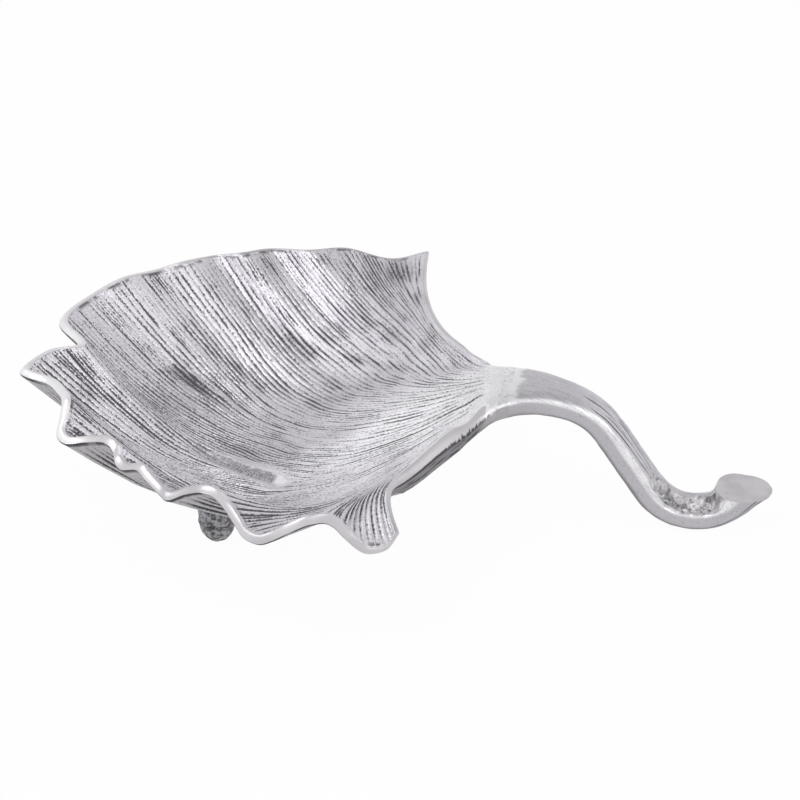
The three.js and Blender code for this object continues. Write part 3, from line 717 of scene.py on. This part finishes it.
FAR_AWAY = 15             # distances from the rim and from the trough are cut off there
NECK_ALONG = (-9.0, -6.5, -3.5)   # the neck's rows, as distances along a vein
down_vein = np.cumsum(np.concatenate([np.zeros((columns, 1)), span(top[:, 1:], top[:, :-1])], axis=1), axis=1)
dressed = padded(1 - step_up(to_neck, -9, 6), 1)
lanes = np.broadcast_to(lane[:, None] * VEINS_A_SIDE, (columns, all_rows))
along = np.concatenate([np.tile(NECK_ALONG, (columns, 1)), down_vein], axis=1)
level = np.concatenate([np.repeat(neck_round[:, None], len(NECK_ROWS), axis=1), side_fill], axis=1)
rim_away = padded(np.clip(to_rim, 0, FAR_AWAY), FAR_AWAY)
trough_away = padded(np.clip(to_trough, 0, FAR_AWAY) * side_of_trough, FAR_AWAY)
nothing = np.zeros((columns, all_rows))
for name, above, beneath in (
    ("groove", padded(np.maximum(groove, 0.55 * tip_flute), 0), padded(under_groove, 0)),
    ("band", padded(band, 0), padded(under_band, 0)),
    ("patch_darkening", padded(patch_darkening, 0), nothing),
    ("rubbed_and_highlit", padded(rubbed_and_highlit, 1), nothing),
    ("dressed", dressed, dressed),
    ("vein", lanes, lanes),
    ("along", along, along),
    ("under", nothing, nothing + 1),
    ("level", level, -level),
    ("rim away", rim_away, rim_away),
    ("trough away", trough_away, nothing + FAR_AWAY),
    ("trough along", padded(along_trough, 0), nothing),
):
    point_values(leaf, name, np.append(above, beneath[lower_i, lower_j]))
face_outward(leaf)


# Sand grain: the fine pitted skin that the mould leaves, as a mask and a height.
grain_group = bpy.data.node_groups.new("sand grain", "ShaderNodeTree")
for label, way, kind in (
    ("Scale", "INPUT", "Float"), ("Vector", "INPUT", "Vector"),
    ("Pits", "OUTPUT", "Float"), ("Height", "OUTPUT", "Float"),
):
    grain_group.interface.new_socket(label, in_out=way, socket_type="NodeSocket" + kind)
nodes, links = grain_group.nodes, grain_group.links
grain_in, grain_out = nodes.new("NodeGroupInput").outputs, nodes.new("NodeGroupOutput").inputs
fine = node("TexNoise", {
    "Detail": 3, "Roughness": 0.65, "Vector": grain_in["Vector"], "Scale": grain_in["Scale"],
}).outputs["Fac"]
pits = node("MapRange", {"From Min": 0.56, "From Max": 0.70, "Value": fine})
links.new(pits.outputs["Result"], grain_out["Pits"])
links.new(fine, grain_out["Height"])


def grain_of(place, scale):
    return node("Group", {"Scale": scale, "Vector": place}, node_tree=grain_group).outputs


def mix(factor, a, b):
    """Colour a where the factor is 0 and b where it is 1."""
    return node("Mix", {0: factor, 6: a, 7: b}, data_type="RGBA").outputs[2]


def noise(vector, scale, detail=2.0, roughness=0.5):
    return node("TexNoise", {
        "Vector": vector, "Scale": scale, "Detail": detail, "Roughness": roughness,
    }).outputs["Fac"]


def swing(cloud, amount):
    """A noise as ups and downs round nought."""
    return times(less(cloud, 0.5), amount)


def field(name):
    """One of the numbers stored at the piece's points."""
    return node("Attribute", attribute_name=name).outputs["Fac"]


def drawn_out(x, y):
    """Coordinates that differ across and along, for noise in lines."""
    return node("CombineXYZ", {"X": x, "Y": y}).outputs["Vector"]


def surface(color, metallic, roughness, height=None, depth=0, strength=1):
    """The metal's surface, with bumps of that depth in millimetres if it has a height."""
    metal = node("BsdfPrincipled", {"Base Color": color, "Metallic": metallic, "Roughness": roughness})
    if height is not None:
        bump = node("Bump", {"Height": height, "Distance": depth * MM, "Strength": strength})
        links.new(bump.outputs["Normal"], metal.inputs["Normal"])
    node("OutputMaterial", {"Surface": metal.outputs["BSDF"]})


# The cast face: oxide lies in the grooves, in beads and streaks, and thins out to worn
# metal between them. Clouds, darker patches and pits darken that a little.
OXIDE = (0.06, 0.055, 0.065)
DARK_GREY = (0.10, 0.095, 0.105)
DEEP_SHADE = (0.05, 0.047, 0.052)
leaf_metal, nodes, links = material("cast leaf aluminium")
place = node("TexCoord").outputs["Object"]
grain = grain_of(place, 1000)
along, in_groove, rim_gap = field("along"), field("groove"), field("rim away")
beads = noise(drawn_out(field("vein"), times(along, 0.55)), 1.5, 2.0, 0.6)
streak = noise(drawn_out(field("vein"), times(along, 0.07)), 0.9, 3.0, 0.6)
cloudy = noise(place, 30, 3.0, 0.55)
patch = times(field("patch_darkening"), ramp(cloudy, 0.35, 0.6))
deep = plus(plus(in_groove, swing(streak, 1.1)), swing(beads, 1.2))
deep = plus(plus(deep, swing(grain["Height"], 0.8)), times(patch, 0.35))
oxide = ramp(deep, 0.30, 0.70)
# The base colour is lighter where the metal was rubbed bright and where a highlight is painted.
color = mix(field("rubbed_and_highlit"), (0.77, 0.745, 0.795), (0.93, 0.915, 0.95))
color = mix(ramp(cloudy, 0.42, 0.72, 0.0, 0.35), color, (0.50, 0.48, 0.515))
color = mix(times(patch, 0.55), color, (0.26, 0.245, 0.27))
color = mix(times(grain["Pits"], 0.6), color, (0.20, 0.19, 0.205))
color = mix(times(oxide, 0.92), color, OXIDE)
rim_dark = times(ramp(rim_gap, 1.6, 2.6), ramp(rim_gap, 5.0, 2.8))
color = mix(times(rim_dark, ramp(noise(place, 110, 3.0, 0.6), 0.5, 0.62, 0.0, 0.85)), color, DARK_GREY)

# The trough is rough sand with short marks across its upper half, between a smooth lip and
# a painted highlight at its end.
gap = less(field("trough away"), 1.3)
passed = field("trough along")
marks = noise(drawn_out(passed, times(gap, 0.9)), 1.1, 5.0, 0.75)
speck = noise(place, 650, 2.0, 0.7)
ragged = plus(maths("ABSOLUTE", gap, 0), swing(noise(place, 420, 3.0, 0.6), 4.0))
inside = times(ramp(ragged, 3.0, 2.0), times(ramp(passed, 2, 30), ramp(passed, 70, 66)))
lip = times(ramp(gap, 2.2, 3.4), ramp(gap, 8.0, 5.5))
lip = times(lip, times(ramp(passed, 20, 34), ramp(passed, 72, 52)))
end_highlight = times(ramp(ragged, 3.2, 2.0), times(ramp(passed, 64, 69), ramp(passed, 75.5, 74.0)))
color = mix(times(lip, 0.9), color, (0.72, 0.71, 0.74))
# Painted highlight at the trough's end.
color = mix(times(end_highlight, 0.9), color, (0.93, 0.925, 0.94))
marked = mix(ramp(marks, 0.36, 0.62), (0.17, 0.165, 0.175), (0.60, 0.585, 0.61))
sandy = mix(ramp(speck, 0.40, 0.56), (0.24, 0.23, 0.25), (0.66, 0.645, 0.67))
color = mix(inside, color, mix(ramp(plus(gap, swing(speck, 6.0)), -1.4, 0.8), sandy, marked))

# Round the weld the metal was dressed bright. Underneath, the metal is painted darker as shade,
# with painted shadow in its ribs and a ragged painted shadow line below the rim.
fresh = plus(field("dressed"), swing(noise(place, 150, 4.0, 0.65), 3.0))
color = mix(ramp(fresh, 0.45, 1.0, 0.0, 0.7), color, (0.80, 0.79, 0.82))
under = field("under")
# Painted shade underneath, and painted shadow in the ribs.
below = mix(ramp(plus(in_groove, swing(beads, 0.6)), 0.15, 0.65), (0.47, 0.455, 0.48), DEEP_SHADE)
color = mix(under, color, below)
# Painted shadow: a ragged dark line on the underside just below the rim.
shadow_under_rim = times(under, times(ramp(rim_gap, 0.1, 0.4), ramp(rim_gap, 3.0, 1.5)))
shadow_under_rim = times(shadow_under_rim, ramp(noise(place, 60, 3.0, 0.6), 0.36, 0.52, 0.3, 0.95))
color = mix(shadow_under_rim, color, DEEP_SHADE)

# The polished band along the rim and the side edges, with a painted sheen that makes it brightest round the
# front lobes.
band = field("band")
polish = ramp(plus(band, swing(cloudy, 0.5)), 0.35, 0.65)
color = mix(polish, color, mix(ramp(cloudy, 0.4, 0.7), (0.65, 0.635, 0.66), (0.54, 0.525, 0.55)))
length_way = node("SeparateXYZ", {0: place}).outputs["X"]
# Painted sheen: the band is lighter towards the front lobes.
color = mix(times(polish, ramp(length_way, -0.11, -0.15, 0.0, 0.85)), color, (0.87, 0.86, 0.875))

# Along the side edges the lower half of the metal, where it turns under, is painted dark as
# shade, in a strip with teeth along its upper edge and a few lines left by the file.
level = field("level")
teeth = noise(drawn_out(along, 0), 0.55, 2.0, 0.6)
bite = times(less(teeth, 0.5), ramp(along, 26, 40, 1.4, 0.15))
strip = ramp(plus(level, bite), 0.46, 0.38)
file_lines = ramp(noise(drawn_out(level, times(along, 0.012)), 5.0, 2.0, 0.55), 0.50, 0.62)
# Painted shade on the lower half of the edge, with darker file lines in its lowest part.
filed_and_shaded = mix(ramp(level, 0.12, 0.28), mix(file_lines, (0.27, 0.26, 0.28), DEEP_SHADE), DARK_GREY)
edge_shade = times(times(strip, ramp(level, -0.97, -0.90)), ramp(along, -9, 5, 0.35, 1.0))
color = mix(times(edge_shade, ramp(rim_gap, 3.0, 6.0)), color, filed_and_shaded)

roughness = plus(ramp(oxide, 0, 1, 0.38, 0.65), ramp(grain["Height"], 0.3, 0.7, -0.05, 0.08))
roughness = plus(roughness, times(band, 0.08))
height = less(plus(times(grain["Height"], 0.6), times(beads, 0.8)), times(oxide, 0.6))
height = times(height, ramp(band, 0.2, 0.8, 1.0, 0.12))
surface(color, ramp(oxide, 0, 1, 0.92, 0.35), roughness, height, 0.55, 0.9)
leaf.data.materials.append(leaf_metal)
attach(leaf, "root")
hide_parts("leaf_bowl")


# Stem. The stem is its own sand casting, a flattened bar that leaves the neck level, falls
# to the table and curls up to a sawn end. Its back was ground and polished lengthwise, and
# the hollow inside the curl was left rough because no wheel could reach it.

STEM_WIDTH = 22
STEM_THICKNESS = 12.5
NECK_RISE = 5.5           # degrees the stem still climbs where it leaves the neck
CREST_TURN = 26           # degrees it bends down along its crest
CREST_LENGTH = 30
SHOULDER_RADIUS = 33.5
FALL_ANGLE = 55.5         # degrees below level down the back
SHOULDER_TURN = FALL_ANGLE + NECK_RISE - CREST_TURN
HEEL_RADIUS = 28
HEEL_FLAT = 0.5           # metal dressed off the heel to give it a flat
TIP_ANGLE = 55            # degrees above level at the sawn end
TIP_LENGTH = 29
TIP_WIDTH = 33
TIP_THICKNESS = 35
TIP_FLARE = 1.6           # the end swells over this many times TIP_LENGTH
CUT_HEIGHT = 21
STEM_BOXINESS = 3.0
TIP_BOXINESS = 2.2
TIP_POINT = 1.9           # boxiness of the underside at the tip, which makes it a blunt keel
STEM_STEP = 1.1
STEM_FACETS = 144

fall, rise = math.radians(FALL_ANGLE), math.radians(NECK_RISE)
crest = math.radians(CREST_TURN)
fall_length = (
    NECK_MIDDLE - (STEM_THICKNESS / 2 - HEEL_FLAT) - CREST_LENGTH * math.sin(crest / 2 - rise)
    - SHOULDER_RADIUS * (math.cos(crest - rise) - math.cos(fall)) - HEEL_RADIUS * (1 - math.cos(fall))
) / math.sin(fall)
stations = [(WELD_HALF_WIDTH, NECK_MIDDLE, rise, 0.0)]
for length, turn in (
    (CREST_LENGTH, -CREST_TURN),
    (SHOULDER_RADIUS * math.radians(SHOULDER_TURN), -SHOULDER_TURN),
    (fall_length, 0),
    (HEEL_RADIUS * math.radians(FALL_ANGLE + TIP_ANGLE), FALL_ANGLE + TIP_ANGLE),
    (TIP_LENGTH, 0),
):
    steps = math.ceil(length / STEM_STEP)
    for step in range(steps):
        x, z, slope, travel = stations[-1]
        slope += math.radians(turn) / steps / 2
        x += length / steps * math.cos(slope)
        z += length / steps * math.sin(slope)
        slope += math.radians(turn) / steps / 2
        stations.append((x, z, slope, travel + length / steps))
line_x, line_z, line_slope, travel = (np.array(stations)[:, k:k + 1] for k in range(4))

waist = CREST_LENGTH + SHOULDER_RADIUS * math.radians(SHOULDER_TURN)
slim = np.sin(np.clip(travel / waist, 0, 1) * np.pi / 2)
to_tip = np.clip(1 - (travel[-1] - travel) / (TIP_FLARE * TIP_LENGTH), 0, 1)
width = NECK_WIDTH + (STEM_WIDTH - NECK_WIDTH) * slim
thickness = NECK_THICKNESS + (STEM_THICKNESS - NECK_THICKNESS) * slim
width = width + (TIP_WIDTH - width) * to_tip ** 2
thickness = thickness + (TIP_THICKNESS - thickness) * to_tip ** 2
boxiness = NECK_BOXINESS + (STEM_BOXINESS - NECK_BOXINESS) * step_up(travel, 0, 30)
boxiness = boxiness + (TIP_BOXINESS - boxiness) * to_tip

# The section's points, and the direction that each of them faces.
turn = 2 * np.pi * (np.arange(STEM_FACETS) + 0.5) / STEM_FACETS
c, sn = np.cos(turn)[None, :], np.sin(turn)[None, :]
boxiness = np.where(sn < 0, boxiness + (TIP_POINT - boxiness) * step_up(travel, 122, 150), boxiness)
across = np.sign(c) * abs(c) ** (2 / boxiness) * width / 2
above = np.sign(sn) * abs(sn) ** (2 / boxiness) * thickness / 2
out_across = np.sign(c) * abs(across / (width / 2)) ** (boxiness - 1) / width
out_above = np.sign(sn) * abs(above / (thickness / 2)) ** (boxiness - 1) / thickness
steep = np.hypot(out_across, out_above)
out_across, out_above = out_across / steep, out_above / steep
count_along, count_round = across.shape

# The back stands a little full down the fall and is dished there, the inside of the curl
# is scooped out roughly, and just before the sawn end it stands up again. Each stretch is
# the lengths along the stem over which it starts and over which it ends.
BACK_RISE = 1.5
BACK_STRETCH = ((34, 60), (92, 108))
DISH_DEPTH = 0.7
DISH_HALF_WIDTH = 9
DISH_START = (26, 50)
HOLLOW_STRETCH = ((78, 98), (124, 136))
HOLLOW_DEPTH = 3.4
HOLLOW_HALF_WIDTH = 8.5
HOLLOW_MIDDLE = -2.5      # it lies nearer the near side
LUMP_HEIGHT = 1.9
FINE_LUMP_HEIGHT = 1.5
TIP_LIFT = 5.0
TIP_LIFT_START = (124, 135)
UNEVENNESS = 0.10         # of the ground faces
dish = step_up(travel, *DISH_START) * DISH_DEPTH * np.clip(1 - (across / DISH_HALF_WIDTH) ** 2, 0, 1)
in_hollow = stretch(travel, *HOLLOW_STRETCH)
in_hollow = in_hollow * np.clip(1 - ((across - HOLLOW_MIDDLE) / HOLLOW_HALF_WIDTH) ** 2, 0, 1)
in_hollow = in_hollow * step_up(out_above, 0.1, 0.6)
lumps = slow_noise(count_along, count_round, 50, 26).T
fine_lumps = slow_noise(count_along, count_round, 110, 60).T
scoop = in_hollow * (HOLLOW_DEPTH + LUMP_HEIGHT * lumps + FINE_LUMP_HEIGHT * fine_lumps)
full_back = stretch(travel, *BACK_STRETCH) * step_up(out_above, 0.1, 0.9)
raised = TIP_LIFT * step_up(travel, *TIP_LIFT_START) * np.clip(sn, 0, 1) + BACK_RISE * full_back

# File marks run down the back: place across, half width, depth, first and last. Others run
# along the side at the end: angle and half width.
FILE_MARKS = (
    (-7.4, 0.55, 0.8, 30, 112), (-4.3, 0.5, 0.9, 38, 104), (-1.2, 0.5, 0.7, 24, 98),
    (2.2, 0.55, 0.8, 44, 108), (5.4, 0.5, 0.6, 34, 100), (7.8, 0.45, 0.5, 52, 110),
)
SIDE_MARKS = ((0.40, 0.036), (0.62, 0.028), (0.84, 0.028))
MARK_DEPTH = 0.55
stem_groove = np.zeros_like(across)
for at, half, depth, first, last in FILE_MARKS:
    wander = at * (1 - 0.22 * step_up(travel, 40, 70)) + 0.5 * np.sin(travel / 11 + at)
    mark = depth * np.exp(-((across - wander) / half) ** 2) * step_up(out_above, 0.3, 0.7)
    mark = mark * stretch(travel, (first, first + 12), (last, last + 10))
    stem_groove = np.maximum(stem_groove, mark)
for angle, half in SIDE_MARKS:
    mark = np.exp(-((turn[None, :] - np.pi - angle) / half) ** 2)
    stem_groove = np.maximum(stem_groove, 0.9 * mark * step_up(travel, 116, 132))
sink = dish + scoop - raised + MARK_DEPTH * stem_groove + UNEVENNESS * lumps * step_up(travel, 4, 16)
offset_across = across - sink * out_across
offset_above = above - sink * out_above
points = np.stack([
    line_x - offset_above * np.sin(line_slope), offset_across, line_z + offset_above * np.cos(line_slope)
], -1)
chamfered = np.stack([
    np.full(STEM_FACETS, -NECK_ROWS[0][0]),
    across[0] * (1 - 2 * CHAMFER / NECK_WIDTH),
    NECK_MIDDLE + above[0] * (1 - 2 * CHAMFER / NECK_THICKNESS),
], -1)
points = np.concatenate([chamfered[None], points])
points = swell(points, -points[..., 1] / (NECK_WIDTH / 2))


def tube(name, loops, closed=False):
    """A closed skin round a row of loops, its ends filled or joined to each other."""
    rows, around = loops.shape[:2]
    ids = np.arange(rows * around).reshape(rows, around)
    faces = []
    for i in range(rows if closed else rows - 1):
        a, b = ids[i], ids[(i + 1) % rows]
        faces += [(a[k], a[(k + 1) % around], b[(k + 1) % around], b[k]) for k in range(around)]
    if not closed:
        faces += [ids[0][::-1], ids[-1]]
    return skin(name, placed(loops).reshape(-1, 3), faces)


stem = tube("stem", points)
hollow = np.clip(in_hollow * 2, 0, 1)
side_steps = np.hypot(*(np.diff(way, axis=1, prepend=way[:, -1:]) for way in (across, above)))
for name, values in (
    ("groove", stem_groove),
    ("hollow", hollow),
    ("pits", np.clip(-lumps, 0, 1) * hollow),
    ("along", np.broadcast_to(travel, across.shape)),
    ("round", np.cumsum(side_steps, axis=1)),
    ("above", out_above),
):
    point_values(stem, name, np.concatenate([values[:1], values]))


def saw(piece, height, keep_above, wanted=None):
    """Cuts a piece off level and fills the cut, over the whole of it or the wanted faces."""
    take(piece)
    bpy.ops.object.mode_set(mode="EDIT")
    bpy.ops.mesh.select_mode(type="FACE")
    bpy.ops.mesh.select_all(action="SELECT")
    if wanted:
        bpy.ops.mesh.select_all(action="DESELECT")
        bpy.ops.object.mode_set(mode="OBJECT")
        for face in piece.data.polygons:
            face.select = bool(wanted(face.center))
        bpy.ops.object.mode_set(mode="EDIT")
    bpy.ops.mesh.bisect(
        plane_co=(0, 0, height * MM), plane_no=(0, 0, 1), use_fill=True,
        clear_inner=keep_above, clear_outer=not keep_above)
    bpy.ops.object.mode_set(mode="OBJECT")


def smooth(piece, angle=40):
    take(piece)
    bpy.ops.object.shade_smooth_by_angle(angle=math.radians(angle))


# The end is sawn off level, and the heel is dressed flat where it stands on the table.
heel_x = (line_x[np.argmin(line_z), 0] + NECK_JOINT[0]) * MM
saw(stem, CUT_HEIGHT, False, lambda at: at.x > heel_x)
saw(stem, 0, True, lambda at: at.z < 4 * MM)
face_outward(stem)
smooth(stem)
for sawn in stem.data.polygons:
    if sawn.normal.z > 0.99 and abs(sawn.center.z - CUT_HEIGHT * MM) < 1e-5:
        sawn.material_index = 1
        for corner in sawn.loop_indices:
            stem.data.edges[stem.data.loops[corner].edge_index].use_edge_sharp = True

# The ground faces are coloured by which way they face: a grey back between two bright
# edges that are painted highlights, and sides that darken downwards as painted shade, darkest
# low by the neck, with fine scratches lengthwise, file marks and pits.
SIDE_GREY = (0.50, 0.485, 0.515)
stem_metal, nodes, links = material("stem aluminium")
place = node("TexCoord").outputs["Object"]
grain = grain_of(place, 1100)
along, upward = field("along"), field("above")
scratch = noise(drawn_out(field("round"), times(along, 0.06)), 1.1, 4.0, 0.65)
cloudy = noise(place, 45, 3.0, 0.6)
coarse = noise(place, 420, 3.0, 0.6)
bare = ramp(field("hollow"), 0.1, 0.7)
lines = ramp(plus(field("groove"), swing(cloudy, 0.8)), 0.25, 0.7)
fine_lines = times(ramp(scratch, 0.47, 0.66, 0.0, 0.65), ramp(upward, 0.2, 0.8, 0.25, 1.0))
tipward = ramp(along, 118, 140)
# Painted highlight along the rounded edges, and a grey back.
color = mix(ramp(upward, 0.15, 0.5), SIDE_GREY, (0.82, 0.81, 0.835))
color = mix(ramp(upward, 0.72, 0.96), color, (0.60, 0.585, 0.62))
# Painted shade on the faces that look down, next to the neck.
neck_shade = times(ramp(along, 24, 2), ramp(upward, 0.15, -0.2))
color = mix(times(neck_shade, 0.8), color, (0.34, 0.33, 0.35))
# Painted shade darkening the sides downwards, less so towards the tip.
low_side_shade = times(ramp(plus(upward, swing(cloudy, 0.5)), -0.15, -0.7), ramp(tipward, 0, 1, 1, 0.35))
color = mix(low_side_shade, color, (0.20, 0.195, 0.205))
color = mix(fine_lines, color, (0.38, 0.37, 0.39))
color = mix(ramp(cloudy, 0.5, 0.75, 0.0, 0.3), color, SIDE_GREY)
color = mix(times(grain["Pits"], ramp(tipward, 0, 1, 0.5, 0.95)), color, (0.22, 0.215, 0.225))
color = mix(lines, color, (0.09, 0.085, 0.095))

# Bright dressed metal reaches a little way out from the weld, and the hollow is rough.
fresh = plus(ramp(along, 0.0, 9.0, 1.0, -0.2), swing(cloudy, 2.2))
fresh = plus(fresh, swing(noise(place, 150, 4.0, 0.65), 2.2))
fresh = times(ramp(fresh, 0.15, 0.9), ramp(upward, 0.05, 0.4))
color = mix(fresh, color, (0.84, 0.83, 0.855))
rough_face = mix(ramp(coarse, 0.44, 0.70), (0.70, 0.685, 0.71), (0.17, 0.165, 0.175))
rough_face = mix(ramp(field("pits"), 0.25, 0.8, 0.0, 0.65), rough_face, (0.07, 0.067, 0.07))
color = mix(bare, color, rough_face)
roughness = plus(ramp(bare, 0, 1, 0.34, 0.40), times(scratch, 0.12))
height = plus(times(scratch, 0.35), times(times(coarse, bare), 2.0))
height = plus(height, times(grain["Height"], 0.3))
surface(color, ramp(plus(bare, lines), 0, 1, 0.92, 0.5), roughness, height, 0.35, 0.8)
stem.data.materials.append(stem_metal)

sawn_metal, nodes, links = material("sawn end")
place = node("TexCoord").outputs["Object"]
shade = noise(place, 90, 2.0, 0.5)
color = mix(ramp(shade, 0.4, 0.65), (0.66, 0.64, 0.67), (0.58, 0.565, 0.59))
color = mix(ramp(noise(place, 900, 2.0, 0.6), 0.58, 0.72, 0.0, 0.35), color, (0.36, 0.35, 0.37))
surface(color, 0.9, ramp(shade, 0.3, 0.7, 0.42, 0.5))
stem.data.materials.append(sawn_metal)
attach(stem, "root")
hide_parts("stem_handle")


# Neck weld. The stem is welded to the leaf all round, in a groove between two chamfers,
# and the weld was dressed level and polished with the metal on both sides.

# Along the neck, and how far in the weld's face or root lies there.
WELD_ROWS = (
    (-3.3, 0.30), (-2.9, 0.02), (-2.2, -0.05), (-1.1, -0.07), (0, -0.06), (1.1, -0.07), (2.2, -0.05),
    (2.9, 0.02), (3.3, 0.30), (0.6, 2.1), (-0.6, 2.1),
)
power = 2 / NECK_BOXINESS
loops = []
for x, inset in WELD_ROWS:
    climb = max(0, x - WELD_HALF_WIDTH) * math.tan(rise)
    loop = np.stack([
        np.full(STEM_FACETS, float(x)),
        np.sign(c[0]) * abs(c[0]) ** power * (NECK_WIDTH / 2 - inset),
        NECK_MIDDLE + climb + np.sign(sn[0]) * abs(sn[0]) ** power * (NECK_THICKNESS / 2 - inset),
    ], -1)
    loops.append(swell(loop, -loop[:, 1] / (NECK_WIDTH / 2)))
weld = tube("neck_weld_dressed", np.array(loops), closed=True)
face_outward(weld)
smooth(weld, 60)
point_values(weld, "above", np.repeat(out_above[:1], len(WELD_ROWS), axis=0))

weld_metal, nodes, links = material("dressed weld")
place = node("TexCoord").outputs["Object"]
cloudy = noise(place, 60, 3.0, 0.6)
fine = noise(place, 700, 3.0, 0.6)
upward = field("above")
color = mix(ramp(cloudy, 0.4, 0.7), (0.86, 0.85, 0.875), (0.66, 0.645, 0.67))
# Painted shade: the weld darkens on its lower side and is darkest underneath.
color = mix(ramp(upward, 0.4, 0.1), color, (0.40, 0.39, 0.41))
color = mix(ramp(upward, -0.5, -0.9), color, (0.16, 0.155, 0.165))
color = mix(ramp(fine, 0.5, 0.64, 0.0, 0.5), color, (0.46, 0.455, 0.47))
surface(color, 0.92, ramp(cloudy, 0.3, 0.7, 0.34, 0.46), fine, 0.3, 0.6)
weld.data.materials.append(weld_metal)
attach(weld, "root")
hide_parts("neck_weld")


# Feet. Two domed feet stand under the bowl, each brazed to a boss that is cast with the
# leaf. They were left as they came from the sand and only rubbed bright at the sides.

FOOT_RADIUS = 8.7
FOOT_HEIGHT = 11          # height of the joint between the foot and its boss
FOOT_OUT = 132            # distance of the feet from the neck towards the front
FOOT_ACROSS = 51
FOOT_FACETS = 96
DOME_HEIGHT = 11.5
BOSS_STOP = 1.0           # the boss ends this far below the middle of the bowl's wall
BRAZE_RADIUS = 0.7
BRAZE_INSET = 0.35
DOME_LUMPS = 0.45         # how far the sand's lumps stand out on each of them
BOSS_LUMPS = 0.35
BRAZE_LUMPS = 0.5
# The boss flares into the underside of the bowl: share of its height, how far it flares.
BOSS_FLARE = ((0, -0.35), (0.06, 0), (0.3, 0), (0.55, 0.15), (0.75, 0.7), (0.88, 1.5), (1, 3.0))

foot_metal, nodes, links = material("sand-cast foot")
place = node("TexCoord").outputs["Object"]
coarse = noise(place, 520, 3.0, 0.65)
color = mix(ramp(coarse, 0.42, 0.62), (0.36, 0.35, 0.37), (0.09, 0.087, 0.095))
color = mix(ramp(noise(place, 120), 0.45, 0.7, 0.0, 0.5), color, (0.12, 0.117, 0.123))
surface(color, ramp(coarse, 0.4, 0.65, 0.9, 0.6), ramp(coarse, 0.3, 0.7, 0.38, 0.6), coarse, 0.6, 0.9)

sand_lumps = bpy.data.textures.new("sand lumps", "CLOUDS")
sand_lumps.noise_scale = 0.0022
sand_lumps.noise_depth = 2


def roughen(piece, amount):
    """Gives a piece the uneven skin of a sand mould."""
    take(piece)
    uneven = piece.modifiers.new("sand", "DISPLACE")
    uneven.texture = sand_lumps
    uneven.strength = amount * MM
    uneven.mid_level = 0.5
    bpy.ops.object.modifier_apply(modifier=uneven.name)


core_points = core.reshape(-1, 3)
angles = 2 * np.pi * np.arange(FOOT_FACETS) / FOOT_FACETS
ring = np.stack([np.cos(angles), np.sin(angles)], -1)
for side, across_way in (("near", -1), ("far", 1)):
    middle = np.array([-FOOT_OUT, across_way * FOOT_ACROSS])
    joint = tuple(placed(np.array([*middle, FOOT_HEIGHT])))

    bpy.ops.mesh.primitive_uv_sphere_add(
        segments=FOOT_FACETS, ring_count=64, radius=FOOT_RADIUS * MM, location=joint)
    foot = bpy.context.object
    foot.name = f"foot_{side}_dome"
    foot.scale = (1, 1, DOME_HEIGHT / FOOT_RADIUS)
    bpy.ops.object.transform_apply(location=True, rotation=True, scale=True)
    roughen(foot, DOME_LUMPS)
    saw(foot, FOOT_HEIGHT, False)
    saw(foot, 0, True)
    smooth(foot, 50)
    foot.data.materials.append(foot_metal)
    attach(foot, "root")
    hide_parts(f"foot_{side}")

    loops = []
    for height_share, flare in BOSS_FLARE:
        plan = ring * (FOOT_RADIUS + flare) + middle
        away = ((core_points[None, :, :2] - plan[:, None]) ** 2).sum(-1)
        ceiling = core_points[away.argmin(1), 2] - BOSS_STOP
        height = FOOT_HEIGHT + (ceiling - FOOT_HEIGHT) * height_share
        loops.append(np.concatenate([plan, height[:, None]], axis=1))
    boss = tube(f"foot_{side}_boss", np.array(loops))
    roughen(boss, across_way * BOSS_LUMPS)     # its lumps are dents on the near boss
    smooth(boss, 50)
    boss.data.materials.append(foot_metal)
    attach(boss, "root")
    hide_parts("leaf_bowl")

    bpy.ops.mesh.primitive_torus_add(
        major_radius=(FOOT_RADIUS - BRAZE_INSET) * MM, minor_radius=BRAZE_RADIUS * MM,
        major_segments=FOOT_FACETS, minor_segments=16, location=joint)
    braze = bpy.context.object
    braze.name = f"foot_{side}_braze_bead"
    bpy.ops.object.transform_apply(location=True, rotation=True, scale=True)
    roughen(braze, BRAZE_LUMPS)
    smooth(braze, 60)
    braze.data.materials.append(foot_metal)
    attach(braze, "root")
    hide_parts(f"foot_{side}_braze")
